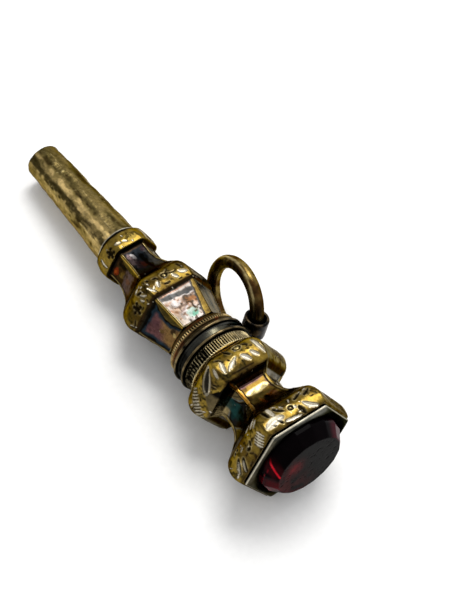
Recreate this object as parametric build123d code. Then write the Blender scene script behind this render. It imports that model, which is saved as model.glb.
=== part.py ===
# A hexagonal watch key fob that lies on a table: a tapering winding pipe, two moulded
# hexagonal shells, a turning collar that carries a ring, and a round cut stone in the base.
# The long axis runs along X from the stone to the pipe's tip, and the ring is on the -Y side.
from build123d import *
from math import asin, atan2, cos, degrees, hypot, pi, radians, sin, sqrt
import os

# General fits
GAP = 0.05              # between fixed pieces
RUNNING_FIT = 0.05      # radial play of the collar on its hub
WALL = 0.45             # thickness of the stamped shells
HEX_TURN = 60           # degrees between the flats of a hexagon

# Lengths along the axis, in order from the bezel's front face to the pipe's tip
BEZEL_RIM = 0.25
DRUM_LENGTH = 2.65
DRUM_SLOPE = 1.3
WAIST_LENGTH = 3.25
UNDERCUT_LENGTH = 0.55
MOULDING_LENGTH = 3.3
MOULDING_LIP = 0.4
MILLED_LENGTH = 1.35
SWIVEL_LENGTH = 1.58
BEAD_RING_LENGTH = 1.55
LANTERN_LENGTH = 4.05
SHOULDER_LENGTH = 2.75
SHOULDER_SLOPE = 1.0
NECK_LENGTH = 3.85
COLLAR_LENGTH = 2.15
PIPE_LENGTH = 15.2
PIPE_SEAT = 0.9         # how deep the pipe's foot stands in the collar
SHOULDER_STEP = 0.15    # of the small step between lantern and shoulder
COLLAR_BEVEL = 0.22
BEAD_GROOVE_WIDTH = 0.34
BEAD_MILL_WIDTH = 0.62

# Where an outline is widest or narrowest, as a share of that part's own length
DRUM_CREST = 0.45
WAIST_HOLLOW = 0.55
MOULDING_CREST = 0.45
SHOULDER_CREST = 0.4
NECK_HOLLOW = 0.5
COLLAR_CREST = 0.45
PIPE_KNEE = 0.3

# Half widths over the flats of the hexagonal shells
DRUM_FRONT = 5.56
DRUM_SWELL = 0.28       # of its middle, past its front edge
DRUM_TAPER = 0.20       # of its back edge, inside its front edge
DRUM_MIDDLE = DRUM_FRONT + DRUM_SWELL
DRUM_BACK = DRUM_FRONT - DRUM_TAPER
WAIST_TOP = 3.90
WAIST_MIDDLE = 3.02
MOULDING_FOOT = 4.14
MOULDING_SWELL = 0.72   # of its middle, past its foot
MOULDING_MIDDLE = MOULDING_FOOT + MOULDING_SWELL
MOULDING_BACK = 4.10
MOULDING_END = 3.64
LANTERN_FOOT = 3.02
LANTERN_TOP = 3.98
SHOULDER_FOOT = 4.14
SHOULDER_SWELL = 0.20   # of its middle, past its foot
SHOULDER_TAPER = 0.20
SHOULDER_MIDDLE = SHOULDER_FOOT + SHOULDER_SWELL
SHOULDER_BACK = SHOULDER_FOOT - SHOULDER_TAPER
NECK_TOP = 3.10
NECK_MIDDLE = 2.46
COLLAR_FOOT = 2.46
COLLAR_FLAT = 3.00

# Radii of the round pieces
COLLAR_RADIUS = 3.26
COLLAR_RIM = 3.02
PIPE_FOOT = 2.58
PIPE_WAIST = 2.34
PIPE_TIP = 2.00
PIPE_CHAMFER = 0.15
SPINDLE_RADIUS = 1.20
HUB_RADIUS = 2.15
MILLED_RADIUS = 3.96
MILLED_DEPTH = 0.14
MILLED_COUNT = 64
BEAD_RADIUS = 3.90
BEAD_DEPTH = 0.12
BEAD_COUNT = 72
BEAD_GROOVE = 3.60
BEAD_FOOT = 3.35
LIP_RADIUS = 4.22
LIP_WIDTH = 0.36
CHANNEL_RADIUS = 3.75

# Square socket that fits a watch's winding arbor
SOCKET_WIDTH = 1.70
SOCKET_DEPTH = 6.0
SPINDLE_GRIP = 2.6      # how far the spindle reaches into the pipe

# Bezel and stone, one inside the other from the drum's front edge inwards
BEZEL_STEP = 0.21       # from the drum's edge in to the rim's edge
SKIRT_PLAY = 0.08       # between the shell and the bezel's skirt
SKIRT_WALL = 0.20
RIM_HOLD = 0.05         # how far the rim's opening closes over the stone's bore
TABLE_INSET = 1.04      # from the girdle in to the table's edge
PAVILION_INSET = 1.98
BEZEL_FLAT = DRUM_FRONT - BEZEL_STEP
SKIRT_FLAT = DRUM_FRONT - WALL - SKIRT_PLAY
STONE_BORE = SKIRT_FLAT - SKIRT_WALL
BEZEL_OPENING = STONE_BORE - RIM_HOLD
GIRDLE_RADIUS = STONE_BORE - GAP
TABLE_RADIUS = GIRDLE_RADIUS - TABLE_INSET
PAVILION_END = GIRDLE_RADIUS - PAVILION_INSET
BEZEL_LIP = 0.22
BEZEL_CROWN = 0.20      # how far the rim's face rises towards the stone
BEZEL_SLOPE = 0.42      # how much narrower the rim is at its crown
BEZEL_DEPTH = 1.70
STONE_FACETS = 16
TABLE_HEIGHT = 1.82     # of the table in front of the bezel's face
GIRDLE_START = 0.50
GIRDLE_WIDTH = 0.15
PAVILION_DEPTH = 1.75

# Ring and the eyelet that it hangs in
RING_RADIUS = 3.88      # to the middle of the wire
RING_WIRE = 0.76        # radius of the wire
EYELET_REACH = 5.50     # from the body's axis to the middle of the hole
EYELET_OFFSET = 0.33    # of the hole from the collar's middle, towards the pipe
EYELET_RADIUS = 1.30
EYELET_HALF = 1.10      # half the length of its hole
EYELET_ROUND = 0.12
EYELET_PLAY = 0.08
LUG_RADIUS = 0.55
FOOT_RISE = 0.25
FOOT_ANGLE = 46.0
COLLAR_TURN = 1.3       # degrees that the eyelet stands above the -Y side
RING_LEAN = 16.3        # degrees that the ring's top leans away from the body
RING_OPEN = 5.2         # degrees that the ring stands open from the body's axis

# Stations along the axis, worked out from the lengths
shell_front = BEZEL_RIM + GAP
drum_end = shell_front + DRUM_LENGTH
slope_end = drum_end + DRUM_SLOPE
waist_end = slope_end + WAIST_LENGTH
moulding_start = waist_end + UNDERCUT_LENGTH
moulding_end = moulding_start + MOULDING_LENGTH
shell_end = moulding_end + MOULDING_LIP
milled_start = shell_end + GAP
milled_end = milled_start + MILLED_LENGTH
swivel_start = milled_end + GAP
swivel_end = swivel_start + SWIVEL_LENGTH
bead_start = swivel_end + GAP
bead_end = bead_start + BEAD_RING_LENGTH
lantern_start = bead_end + GAP
lantern_end = lantern_start + LANTERN_LENGTH
shoulder_end = lantern_end + SHOULDER_LENGTH
neck_start = shoulder_end + SHOULDER_SLOPE
neck_end = neck_start + NECK_LENGTH
collar_end = neck_end + COLLAR_LENGTH
pipe_start = collar_end - PIPE_SEAT
pipe_tip = collar_end + PIPE_LENGTH

# Outlines of the hexagonal shells: each step is a line to one point, or an arc through two
LOWER_START = (shell_front, DRUM_FRONT)
DRUM_ARC = ((shell_front + DRUM_CREST * DRUM_LENGTH, DRUM_MIDDLE), (drum_end, DRUM_BACK))
MOULDING_ARC = (
    (moulding_start + MOULDING_CREST * MOULDING_LENGTH, MOULDING_MIDDLE),
    (moulding_end, MOULDING_BACK),
)
LOWER_STEPS = [
    DRUM_ARC,
    ((slope_end, WAIST_TOP),),
    ((slope_end + WAIST_HOLLOW * WAIST_LENGTH, WAIST_MIDDLE), (waist_end, WAIST_MIDDLE)),
    ((moulding_start, MOULDING_FOOT),),
    MOULDING_ARC,
    ((shell_end, MOULDING_END),),
]
UPPER_START = (lantern_start, LANTERN_FOOT)
SHOULDER_START = (lantern_end + SHOULDER_STEP, SHOULDER_FOOT)
SHOULDER_ARC = (
    (lantern_end + SHOULDER_CREST * SHOULDER_LENGTH, SHOULDER_MIDDLE),
    (shoulder_end, SHOULDER_BACK),
)
UPPER_STEPS = [
    ((lantern_end, LANTERN_TOP),),
    (SHOULDER_START,),
    SHOULDER_ARC,
    ((neck_start, NECK_TOP),),
    ((neck_start + NECK_HOLLOW * NECK_LENGTH, NECK_MIDDLE), (neck_end, COLLAR_FOOT)),
]


def trace(start, steps, sign=1, inset=0.0):
    """Edges of an outline in the XZ plane, mirrored below the axis when sign is -1."""
    edges = []
    here = (start[0], 0, sign * (start[1] - inset))
    for step in steps:
        there = [(x, 0, sign * (r - inset)) for x, r in step]
        edges.append(Line(here, there[0]) if len(there) == 1 else ThreePointArc(here, *there))
        here = there[-1]
    return edges


def hexagonal(start, steps, inset=0.0):
    """Hexagonal solid whose six flats follow one outline: three crossed bars intersected."""
    last = steps[-1][-1]
    top = trace(start, steps, 1, inset)
    bottom = trace(start, steps, -1, inset)
    ends = [
        Line((start[0], 0, start[1] - inset), (start[0], 0, inset - start[1])),
        Line((last[0], 0, last[1] - inset), (last[0], 0, inset - last[1])),
    ]
    widest = max(r for step in [(start,)] + list(steps) for _, r in step)
    bar = extrude(make_face(Wire(top + bottom + ends)), 2 * widest, both=True, dir=(0, 1, 0))
    return bar & bar.rotate(Axis.X, HEX_TURN) & bar.rotate(Axis.X, 2 * HEX_TURN)


def turned(points):
    """Round solid about the X axis from a closed outline of (station, radius) corners."""
    corners = [(x, 0, r) for x, r in points]
    return revolve(make_face(Polyline(*corners, close=True)), Axis.X)


def rod(start, end, radius):
    return turned([(start, 0), (end, 0), (end, radius), (start, radius)])


def fluted(start, end, radius, depth, count):
    """Short bar with a fine row of flutes around it, along the X axis."""
    corners = []
    for i in range(2 * count):
        r = radius - depth * (i % 2)
        angle = pi * i / count
        corners.append((start, r * cos(angle), r * sin(angle)))
    return extrude(make_face(Polyline(*corners, close=True)), end - start, dir=(1, 0, 0))


def lip(start, end, top):
    """Turned lip with a half round edge."""
    foot = top - (end - start) / 2
    arc = ThreePointArc((start, 0, foot), ((start + end) / 2, 0, top), (end, 0, foot))
    sides = Polyline((end, 0, foot), (end, 0, HUB_RADIUS), (start, 0, HUB_RADIUS), (start, 0, foot))
    return revolve(make_face(Wire([arc] + sides.edges())), Axis.X)


def stone():
    """Table, bevel facets, girdle and pavilion of the round cut stone."""
    levels = [
        (-TABLE_HEIGHT, TABLE_RADIUS),
        (GIRDLE_START, GIRDLE_RADIUS),
        (GIRDLE_START + GIRDLE_WIDTH, GIRDLE_RADIUS),
        (GIRDLE_START + GIRDLE_WIDTH + PAVILION_DEPTH, PAVILION_END),
    ]
    rings = []
    for station, radius in levels:
        plane = Plane(origin=(station, 0, 0), x_dir=(0, 1, 0), z_dir=(1, 0, 0))
        rings.append(plane * RegularPolygon(radius, STONE_FACETS))
    body = loft([rings[0], rings[1]], ruled=True)
    for low, high in zip(rings[1:], rings[2:]):
        body += loft([low, high], ruled=True)
    return body


def bezel():
    """Hexagonal rim with a skirt inside the drum and a seat for the stone."""
    crown = (-BEZEL_CROWN, BEZEL_FLAT - BEZEL_SLOPE)
    body = hexagonal(crown, [((0, BEZEL_FLAT),), ((BEZEL_RIM, BEZEL_FLAT),)])
    body += hexagonal((0, SKIRT_FLAT), [((BEZEL_DEPTH, SKIRT_FLAT),)])
    body -= hexagonal((-BEZEL_CROWN - GAP, BEZEL_OPENING), [((BEZEL_LIP, BEZEL_OPENING),)])
    seat = GIRDLE_START + GIRDLE_WIDTH + GAP
    taper = PAVILION_INSET / PAVILION_DEPTH
    depth = BEZEL_DEPTH + GAP
    small = STONE_BORE - taper * (depth - seat)
    front = BEZEL_LIP - GAP
    body -= turned([(front, 0), (depth, 0), (depth, small), (seat, STONE_BORE), (front, STONE_BORE)])
    return body


def lower_body():
    """Stamped shell: the base drum, the hollowed waist and the lower moulding."""
    body = hexagonal(LOWER_START, LOWER_STEPS)
    floor = shell_end - WALL
    inner = LOWER_STEPS[:-1] + [((floor, MOULDING_BACK),)]
    cavity = hexagonal(LOWER_START, inner, WALL)
    return body - cavity - rod(floor - WALL, shell_end + WALL, SPINDLE_RADIUS + GAP)


def milled_band():
    body = fluted(milled_start, milled_end, MILLED_RADIUS, MILLED_DEPTH, MILLED_COUNT)
    return body - rod(milled_start - GAP, milled_end + GAP, SPINDLE_RADIUS + GAP)


def bead_ring():
    """Hub that the collar turns on, a dark groove, and a finely milled ring."""
    groove_end = bead_start + BEAD_GROOVE_WIDTH
    mill_end = groove_end + BEAD_MILL_WIDTH
    body = rod(milled_end + GAP, bead_start, HUB_RADIUS)
    body += rod(bead_start, groove_end, BEAD_GROOVE)
    body += fluted(groove_end, mill_end, BEAD_RADIUS, BEAD_DEPTH, BEAD_COUNT)
    body += turned([(mill_end, 0), (bead_end, 0), (bead_end, BEAD_FOOT), (mill_end, BEAD_GROOVE)])
    return body - rod(milled_end, bead_end + GAP, SPINDLE_RADIUS + GAP)


def upper_body():
    """Stamped shell: lantern, shoulder moulding, neck, and the collar that holds the pipe."""
    shaft = hexagonal(UPPER_START, UPPER_STEPS)
    flats = hexagonal((neck_end, COLLAR_FOOT), [
        ((neck_end + COLLAR_BEVEL, COLLAR_FLAT),),
        ((collar_end, COLLAR_FLAT),),
    ])
    arc = ThreePointArc(
        (neck_end, 0, NECK_TOP),
        (neck_end + COLLAR_CREST * COLLAR_LENGTH, 0, COLLAR_RADIUS),
        (collar_end, 0, COLLAR_RIM),
    )
    sides = Polyline(
        (collar_end, 0, COLLAR_RIM),
        (collar_end, 0, 0),
        (neck_end, 0, 0),
        (neck_end, 0, NECK_TOP),
    )
    collar = flats & revolve(make_face(Wire([arc] + sides.edges())), Axis.X)
    floor = lantern_start + WALL
    foot = (floor, LANTERN_FOOT + (LANTERN_TOP - LANTERN_FOOT) * WALL / LANTERN_LENGTH)
    cavity = hexagonal(foot, UPPER_STEPS, WALL)
    collar_room = rod(neck_end, pipe_start - WALL, COLLAR_FOOT - WALL)
    mouth = rod(pipe_start, collar_end + GAP, PIPE_FOOT + GAP)
    hole = rod(lantern_start - GAP, pipe_start + GAP, SPINDLE_RADIUS + GAP)
    return shaft + collar - cavity - collar_room - mouth - hole


def pipe():
    """Tapering pipe with the square socket in its tip and a bore for the spindle."""
    knee = collar_end + PIPE_KNEE * PIPE_LENGTH
    start = pipe_start + GAP
    body = turned([
        (start, 0),
        (pipe_tip, 0),
        (pipe_tip, PIPE_TIP - PIPE_CHAMFER),
        (pipe_tip - PIPE_CHAMFER, PIPE_TIP),
        (knee, PIPE_WAIST),
        (collar_end, PIPE_FOOT),
        (start, PIPE_FOOT),
    ])
    socket = Pos(pipe_tip - SOCKET_DEPTH / 2, 0, 0) * Box(SOCKET_DEPTH, SOCKET_WIDTH, SOCKET_WIDTH)
    return body - socket - rod(start - GAP, start + SPINDLE_GRIP + GAP, SPINDLE_RADIUS + GAP)


def spindle():
    """Hidden post that the shells, the bands and the pipe are fixed on."""
    stone_back = GIRDLE_START + GIRDLE_WIDTH + PAVILION_DEPTH
    return rod(stone_back + GAP, pipe_start + GAP + SPINDLE_GRIP, SPINDLE_RADIUS)


# The eyelet's hole: its middle, the line of the ring's hinge, and the way to the ring's middle
swivel_middle = (swivel_start + swivel_end) / 2
hinge_point = Vector(
    swivel_middle + EYELET_OFFSET,
    -EYELET_REACH * cos(radians(COLLAR_TURN)),
    EYELET_REACH * sin(radians(COLLAR_TURN)),
)
hinge_line = Vector(0, -sin(radians(RING_LEAN)), cos(radians(RING_LEAN)))
outward = Vector(0, -cos(radians(RING_LEAN)), -sin(radians(RING_LEAN)))
ring_way = Vector(1, 0, 0) * cos(radians(RING_OPEN)) + outward * sin(radians(RING_OPEN))
hinge_plane = Plane(origin=hinge_point, x_dir=(1, 0, 0), z_dir=hinge_line)


def eyelet():
    """Rounded barrel about the hinge line, and the hole in it, flared to suit the bent wire."""
    small = EYELET_RADIUS - EYELET_ROUND
    corner = EYELET_HALF - EYELET_ROUND
    outer = Polyline(
        (0, 0, -EYELET_HALF),
        (small, 0, -EYELET_HALF),
        (EYELET_RADIUS, 0, -corner),
        (EYELET_RADIUS, 0, corner),
        (small, 0, EYELET_HALF),
        (0, 0, EYELET_HALF),
        close=True,
    )
    throat = RING_WIRE + EYELET_PLAY
    mouth = throat + RING_RADIUS - sqrt(RING_RADIUS ** 2 - EYELET_HALF ** 2)
    flare = ThreePointArc((mouth, 0, -EYELET_HALF), (throat, 0, 0), (mouth, 0, EYELET_HALF))
    inner = Polyline(
        (mouth, 0, EYELET_HALF),
        (0, 0, EYELET_HALF),
        (0, 0, -EYELET_HALF),
        (mouth, 0, -EYELET_HALF),
    )
    barrel = revolve(make_face(outer), Axis.Z)
    hole = revolve(make_face(Wire([flare] + inner.edges())), Axis.Z)
    return hinge_plane * barrel, hinge_plane * hole


def swivel_collar():
    """Channelled band with two lips, a lug in the channel, and the eyelet soldered to it."""
    body = rod(swivel_start, swivel_end, CHANNEL_RADIUS)
    body += lip(swivel_start, swivel_start + LIP_WIDTH, LIP_RADIUS)
    body += lip(swivel_end - LIP_WIDTH, swivel_end, LIP_RADIUS)
    radial = Vector(0, hinge_point.Y, hinge_point.Z).normalized()
    lug_plane = Plane(origin=(swivel_middle, 0, 0), z_dir=radial)
    lug_start = CHANNEL_RADIUS - WALL
    lug_length = EYELET_REACH - RING_WIRE - EYELET_PLAY - lug_start
    body += lug_plane * Pos(0, 0, lug_start + lug_length / 2) * Cylinder(LUG_RADIUS, lug_length)
    low = swivel_start + LIP_WIDTH
    high = swivel_end - LIP_WIDTH
    top = CHANNEL_RADIUS + FOOT_RISE
    corners = [(low, 0, lug_start), (high, 0, lug_start), (high, 0, top), (low, 0, top)]
    foot = revolve(make_face(Polyline(*corners, close=True)), Axis.X, FOOT_ANGLE)
    towards = degrees(atan2(-radial.Y, radial.Z)) - FOOT_ANGLE / 2
    body += foot.rotate(Axis.X, towards)
    barrel, hole = eyelet()
    body = body + barrel - hole
    return body - rod(swivel_start - GAP, swivel_end + GAP, HUB_RADIUS + RUNNING_FIT)


def ring():
    """Closed round wire ring, through the eyelet's hole."""
    middle = hinge_point + ring_way * RING_RADIUS
    plane = Plane(origin=middle, x_dir=hinge_line, z_dir=ring_way.cross(hinge_line))
    return plane * Torus(RING_RADIUS, RING_WIRE)


def circle_through(start, middle, end):
    """Centre and radius of the circle through three points of an outline."""
    (ax, ay), (bx, by), (cx, cy) = start, middle, end
    d = 2 * (ax * (by - cy) + bx * (cy - ay) + cx * (ay - by))
    a2, b2, c2 = ax ** 2 + ay ** 2, bx ** 2 + by ** 2, cx ** 2 + cy ** 2
    x = (a2 * (by - cy) + b2 * (cy - ay) + c2 * (ay - by)) / d
    y = (a2 * (cx - bx) + b2 * (ax - cx) + c2 * (bx - ax)) / d
    return x, y, hypot(ax - x, ay - y)


def resting_tilt():
    """Angle at which a table touches both the drum's flat and the shoulder's flat."""
    x1, y1, r1 = circle_through(LOWER_START, *DRUM_ARC)
    x2, y2, r2 = circle_through(SHOULDER_START, *SHOULDER_ARC)
    return degrees(atan2(y1 - y2, x2 - x1) + asin((r1 - r2) / hypot(x2 - x1, y1 - y2)))


pieces = {
    "stone": stone(),
    "bezel": bezel(),
    "lower_body": lower_body(),
    "milled_band": milled_band(),
    "swivel_collar": swivel_collar(),
    "ring": ring(),
    "bead_ring": bead_ring(),
    "upper_body": upper_body(),
    "pipe": pipe(),
    "spindle": spindle(),
}

# Lay the whole down on its flats and put the origin under the middle of it
tilt = resting_tilt()
laid = {name: piece.rotate(Axis.Y, tilt) for name, piece in pieces.items()}
boxes = [piece.bounding_box() for piece in laid.values()]
origin = Vector(
    (min(box.min.X for box in boxes) + max(box.max.X for box in boxes)) / 2,
    (min(box.min.Y for box in boxes) + max(box.max.Y for box in boxes)) / 2,
    min(box.min.Z for box in boxes),
)

os.makedirs("parts", exist_ok=True)
for name, piece in laid.items():
    placed = piece.translate(-origin)
    placed.label = name
    export_step(placed, f"parts/{name}.step")

print("tilt", round(tilt, 4), "origin", [round(v, 4) for v in origin])
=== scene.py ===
from math import atan2, cos, hypot, pi, radians, sin, sqrt, tan

import bpy
import numpy as np
from mathutils import Matrix, Vector


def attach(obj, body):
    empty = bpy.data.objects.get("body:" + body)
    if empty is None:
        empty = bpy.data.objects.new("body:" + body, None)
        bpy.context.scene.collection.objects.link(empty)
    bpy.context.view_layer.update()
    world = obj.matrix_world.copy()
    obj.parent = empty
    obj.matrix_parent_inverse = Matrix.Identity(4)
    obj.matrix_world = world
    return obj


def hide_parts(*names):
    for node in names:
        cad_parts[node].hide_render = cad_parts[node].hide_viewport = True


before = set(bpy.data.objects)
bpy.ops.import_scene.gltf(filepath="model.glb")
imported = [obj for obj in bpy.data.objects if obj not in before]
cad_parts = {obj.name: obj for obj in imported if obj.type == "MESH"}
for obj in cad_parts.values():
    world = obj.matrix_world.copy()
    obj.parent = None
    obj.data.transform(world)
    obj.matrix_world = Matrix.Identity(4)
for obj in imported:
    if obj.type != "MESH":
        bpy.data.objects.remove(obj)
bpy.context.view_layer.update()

MM = 0.001
TILT = radians(4.2222)                  # how far the axis leans down towards the pipe
ORIGIN = (21.6762, -0.4963, -5.9389)    # the table's origin, in axis coordinates
GAP = 0.05
INSIDE = -5.0                           # run along the outline given to a shell's hidden rows
HEX = 6


def fineness(full):
    return full


# Fineness of the meshes: spacing along a piece, and points to a side, a facet or a circle
SHELL_PITCH = fineness(0.085)
PIPE_PITCH = fineness(0.10)
SWIVEL_PITCH = fineness(0.05)
EYELET_PITCH = 0.12
EYELET_VOXEL = fineness(0.05)
LOWER_COLUMNS = fineness(80)
UPPER_COLUMNS = fineness(60)
PIPE_COLUMNS = fineness(44)
MILLED_COLUMNS = fineness(200)
BEAD_COLUMNS = fineness(150)
SWIVEL_COLUMNS = fineness(64)
EYELET_COLUMNS = fineness(72)
BEZEL_COLUMNS = fineness(48)
STONE_COLUMNS = fineness(20)
STONE_STEPS = fineness(44)
RING_AROUND = fineness(170)
WIRE_AROUND = fineness(36)

# Lengths along the axis, in order from the bezel's face to the pipe's tip
BEZEL_RIM = 0.25
DRUM_LENGTH = 2.65
DRUM_SLOPE = 1.3
WAIST_LENGTH = 3.25
UNDERCUT_LENGTH = 0.55
MOULDING_LENGTH = 3.3
MOULDING_LIP = 0.4
MILLED_LENGTH = 1.35
SWIVEL_LENGTH = 1.58
BEAD_LENGTH = 1.55
LANTERN_LENGTH = 4.05
SHOULDER_LENGTH = 2.75
SHOULDER_SLOPE = 1.0
NECK_LENGTH = 3.85
COLLAR_LENGTH = 2.15
PIPE_LENGTH = 15.2
PIPE_SEAT = 0.9
SOCKET_DEPTH = 6.0

# Half widths over the flats, and radii
WALL = 0.45
SPINDLE_HOLE = 1.25
DRUM_FRONT = 5.56
DRUM_MIDDLE = 5.84
DRUM_BACK = 5.36
WAIST_TOP = 3.90
WAIST_MIDDLE = 3.02
MOULDING_FOOT = 4.14
MOULDING_MIDDLE = 4.86
MOULDING_BACK = 4.10
MOULDING_TOP = 3.64
LANTERN_FOOT = 3.02
LANTERN_TOP = 3.98
SHOULDER_FOOT = 4.14
SHOULDER_MIDDLE = 4.34
SHOULDER_BACK = 3.94
NECK_TOP = 3.10
NECK_MIDDLE = 2.46
COLLAR_FLAT = 3.00
PIPE_FOOT = 2.58
PIPE_WAIST = 2.34
PIPE_TIP_RADIUS = 2.00
SOCKET_HALF = 0.85
MILLED_RADIUS = 3.96
BEAD_RADIUS = 3.90
BEAD_GROOVE = 3.60
BEAD_FOOT = 3.35
HUB_RADIUS = 2.15
HUB_PLAY = 0.05
LIP_RADIUS = 4.22
LIP_WIDTH = 0.36
CHANNEL_RADIUS = 3.75
BEZEL_FLAT = 5.35
BEZEL_CROWN = 0.20
BEZEL_OPENING = 4.78
BEZEL_DEPTH = 1.70
SKIRT_FLAT = 5.03
GIRDLE_RADIUS = 4.78
GIRDLE_START = 0.50
GIRDLE_WIDTH = 0.15
TABLE_RADIUS = 3.74
TABLE_HEIGHT = 1.82
BEVEL_STEP = 0.22         # share of the bevel's width taken by its steeper lower half
PAVILION_END = 2.80
PAVILION_DEPTH = 1.75
STONE_FACETS = 16
RING_RADIUS = 3.88
RING_WIRE = 0.76
EYELET_REACH = 5.50
EYELET_OFFSET = 0.33
EYELET_RADIUS = 1.30
EYELET_HALF = 1.10
EYELET_PLAY = 0.08
COLLAR_TURN = radians(1.3)
RING_LEAN = radians(16.3)
RING_OPEN = radians(5.2)
SOCKET_MOUTH = 1.25
SPINDLE_SEAT = 2.7

# Teeth, punches and worn places
FINE_TEETH = 90
COARSE_TEETH = 66
COARSE_STRETCH = (radians(27), radians(120))    # where the milled band's coarse teeth lie
BEAD_TEETH = 84
PUNCH_WIDTH = 0.13
PUNCH_DEPTH = 0.14
RIM_WIDTH = 0.14          # width of the dark outline round a cut
SWIVEL_HIGHLIGHT = -0.08      # direction of the painted highlight in the channel, in radians from the top
RING_HIGHLIGHT = 5.35        # direction round the wire, from the ring's outside, of its painted highlight streak

# The table's half width in metres, and how pale the room is from the ring's side across
TABLE_REACH = 1.2
ROOM_TONES = ((0.0, 1.0), (0.30, 0.9), (0.55, 0.60), (1.0, 0.36))

# The camera: lens, place in millimetres, and its right, down and forward directions
LENS = 98.33
CAMERA_PLACE = (-73.00, 54.794, 143.647)
CAMERA_RIGHT = (-0.58394, -0.81016, 0.05152)
CAMERA_DOWN = (-0.69484, 0.46599, -0.54778)
CAMERA_AHEAD = (0.41978, -0.35567, -0.83503)

# Stations along the axis
shell_front = BEZEL_RIM + GAP
drum_end = shell_front + DRUM_LENGTH
slope_end = drum_end + DRUM_SLOPE
waist_end = slope_end + WAIST_LENGTH
moulding_start = waist_end + UNDERCUT_LENGTH
moulding_end = moulding_start + MOULDING_LENGTH
shell_end = moulding_end + MOULDING_LIP
milled_start = shell_end + GAP
milled_end = milled_start + MILLED_LENGTH
swivel_start = milled_end + GAP
swivel_end = swivel_start + SWIVEL_LENGTH
bead_start = swivel_end + GAP
bead_end = bead_start + BEAD_LENGTH
lantern_start = bead_end + GAP
lantern_end = lantern_start + LANTERN_LENGTH
shoulder_end = lantern_end + SHOULDER_LENGTH
neck_start = shoulder_end + SHOULDER_SLOPE
neck_end = neck_start + NECK_LENGTH
collar_end = neck_end + COLLAR_LENGTH
pipe_start = collar_end - PIPE_SEAT
pipe_tip = collar_end + PIPE_LENGTH


def to_row(points):
    """Axis coordinates in millimetres to the table's frame in metres."""
    p = np.asarray(points, float)
    x = cos(TILT) * p[:, 0] + sin(TILT) * p[:, 2] - ORIGIN[0]
    y = p[:, 1] - ORIGIN[1]
    z = cos(TILT) * p[:, 2] - sin(TILT) * p[:, 0] - ORIGIN[2]
    return np.column_stack([x, y, z]) * MM


def lumps(points, size, seed):
    """Smooth random bumps from -1 to 1, of about the given size in millimetres."""
    lattice = np.random.RandomState(seed).rand(32, 32, 32) * 2 - 1
    q = np.asarray(points, float) / size + 100.0
    i = np.floor(q).astype(int)
    f = q - i
    f = f * f * (3 - 2 * f)
    total = 0.0
    for corner in range(8):
        d = ((corner >> 2) & 1, (corner >> 1) & 1, corner & 1)
        weight = 1.0
        for k in range(3):
            weight = weight * (f[..., k] if d[k] else 1 - f[..., k])
        total = total + weight * lattice[tuple((i[..., k] + d[k]) % 32 for k in range(3))]
    return total


def arc(p0, p1, p2, pitch):
    """Points of the arc from p0 through p1 to p2, without p0."""
    (ax, ay), (bx, by), (cx, cy) = p0, p1, p2
    d = 2 * (ax * (by - cy) + bx * (cy - ay) + cx * (ay - by))
    a2, b2, c2 = ax * ax + ay * ay, bx * bx + by * by, cx * cx + cy * cy
    x = (a2 * (by - cy) + b2 * (cy - ay) + c2 * (ay - by)) / d
    y = (a2 * (cx - bx) + b2 * (ax - cx) + c2 * (bx - ax)) / d
    r = hypot(ax - x, ay - y)
    start, via, end = (atan2(q - y, p - x) for p, q in (p0, p1, p2))
    via = start + (via - start + pi) % (2 * pi) - pi
    end = via + (end - via + pi) % (2 * pi) - pi
    count = max(2, round(abs(end - start) * r / pitch))
    turn = np.linspace(start, end, count + 1)[1:]
    return [(x + r * cos(t), y + r * sin(t)) for t in turn]


def straight(p0, p1, pitch):
    """Points of the line from p0 to p1, without p0."""
    count = max(1, round(hypot(p1[0] - p0[0], p1[1] - p0[1]) / pitch))
    return [
        (p0[0] + (p1[0] - p0[0]) * i / count, p0[1] + (p1[1] - p0[1]) * i / count)
        for i in range(1, count + 1)
    ]


def outline(start, steps, pitch):
    """Points along an outline, and the distance along it at each and at each step's end.

    A step is a line to one point, or an arc through two."""
    points = [start]
    ends = [0]
    for step in steps:
        make = straight if len(step) == 1 else arc
        points += make(points[-1], *step, pitch)
        ends.append(len(points) - 1)
    lengths = np.hypot(*np.diff(np.array(points), axis=0).T)
    along = np.concatenate([[0], np.cumsum(lengths)])
    return points, along, along[ends]


def polygon_ring(flat, corner, sides, columns):
    """Columns of points round a polygon with rounded corners.

    Returns the (y, z) of each column, the place across its side, and the side's number."""
    per_side = columns // sides
    half = pi / sides
    edge = max(0.0, (flat - corner) * tan(half))
    reach = edge + corner * half
    across = np.linspace(-reach, reach, per_side, endpoint=False)
    past = np.clip(np.abs(across) - edge, 0, None)
    bend = past / max(corner, 1e-6) * np.sign(across)
    side_y = np.clip(across, -edge, edge) + corner * np.sin(bend)
    side_z = flat - corner + corner * np.cos(bend)
    side = np.repeat(np.arange(sides), per_side)
    turn = 2 * pi * side / sides
    y = np.tile(side_y, sides)
    z = np.tile(side_z, sides)
    ring = np.column_stack([y * np.cos(turn) + z * np.sin(turn), z * np.cos(turn) - y * np.sin(turn)])
    return ring, np.tile(across, sides), side


def smooth_step(low, high, value):
    """0 up to the low value and 1 from the high one on, with a soft rise between them."""
    t = np.clip((value - low) / (high - low), 0, 1)
    return t * t * (3 - 2 * t)


def between(value, low, high, soft):
    """1 between two values and 0 outside them, with soft ends."""
    return smooth_step(low - soft, low + soft, value) * (1 - smooth_step(high - soft, high + soft, value))


def bell(value, width):
    """1 where the value is 0, falling softly to 0 on both sides."""
    return np.exp(-(value / width) ** 2)


def circle(count):
    """Evenly spaced directions round a circle, in radians."""
    return np.arange(count) * 2 * pi / count


def facing(points):
    """Direction of each point round the axis, in radians from the top towards the left."""
    return np.arctan2(points[..., 1], points[..., 2])


def distance_out(points):
    """Distance of each point from the axis."""
    return np.hypot(points[..., 1], points[..., 2])


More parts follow.
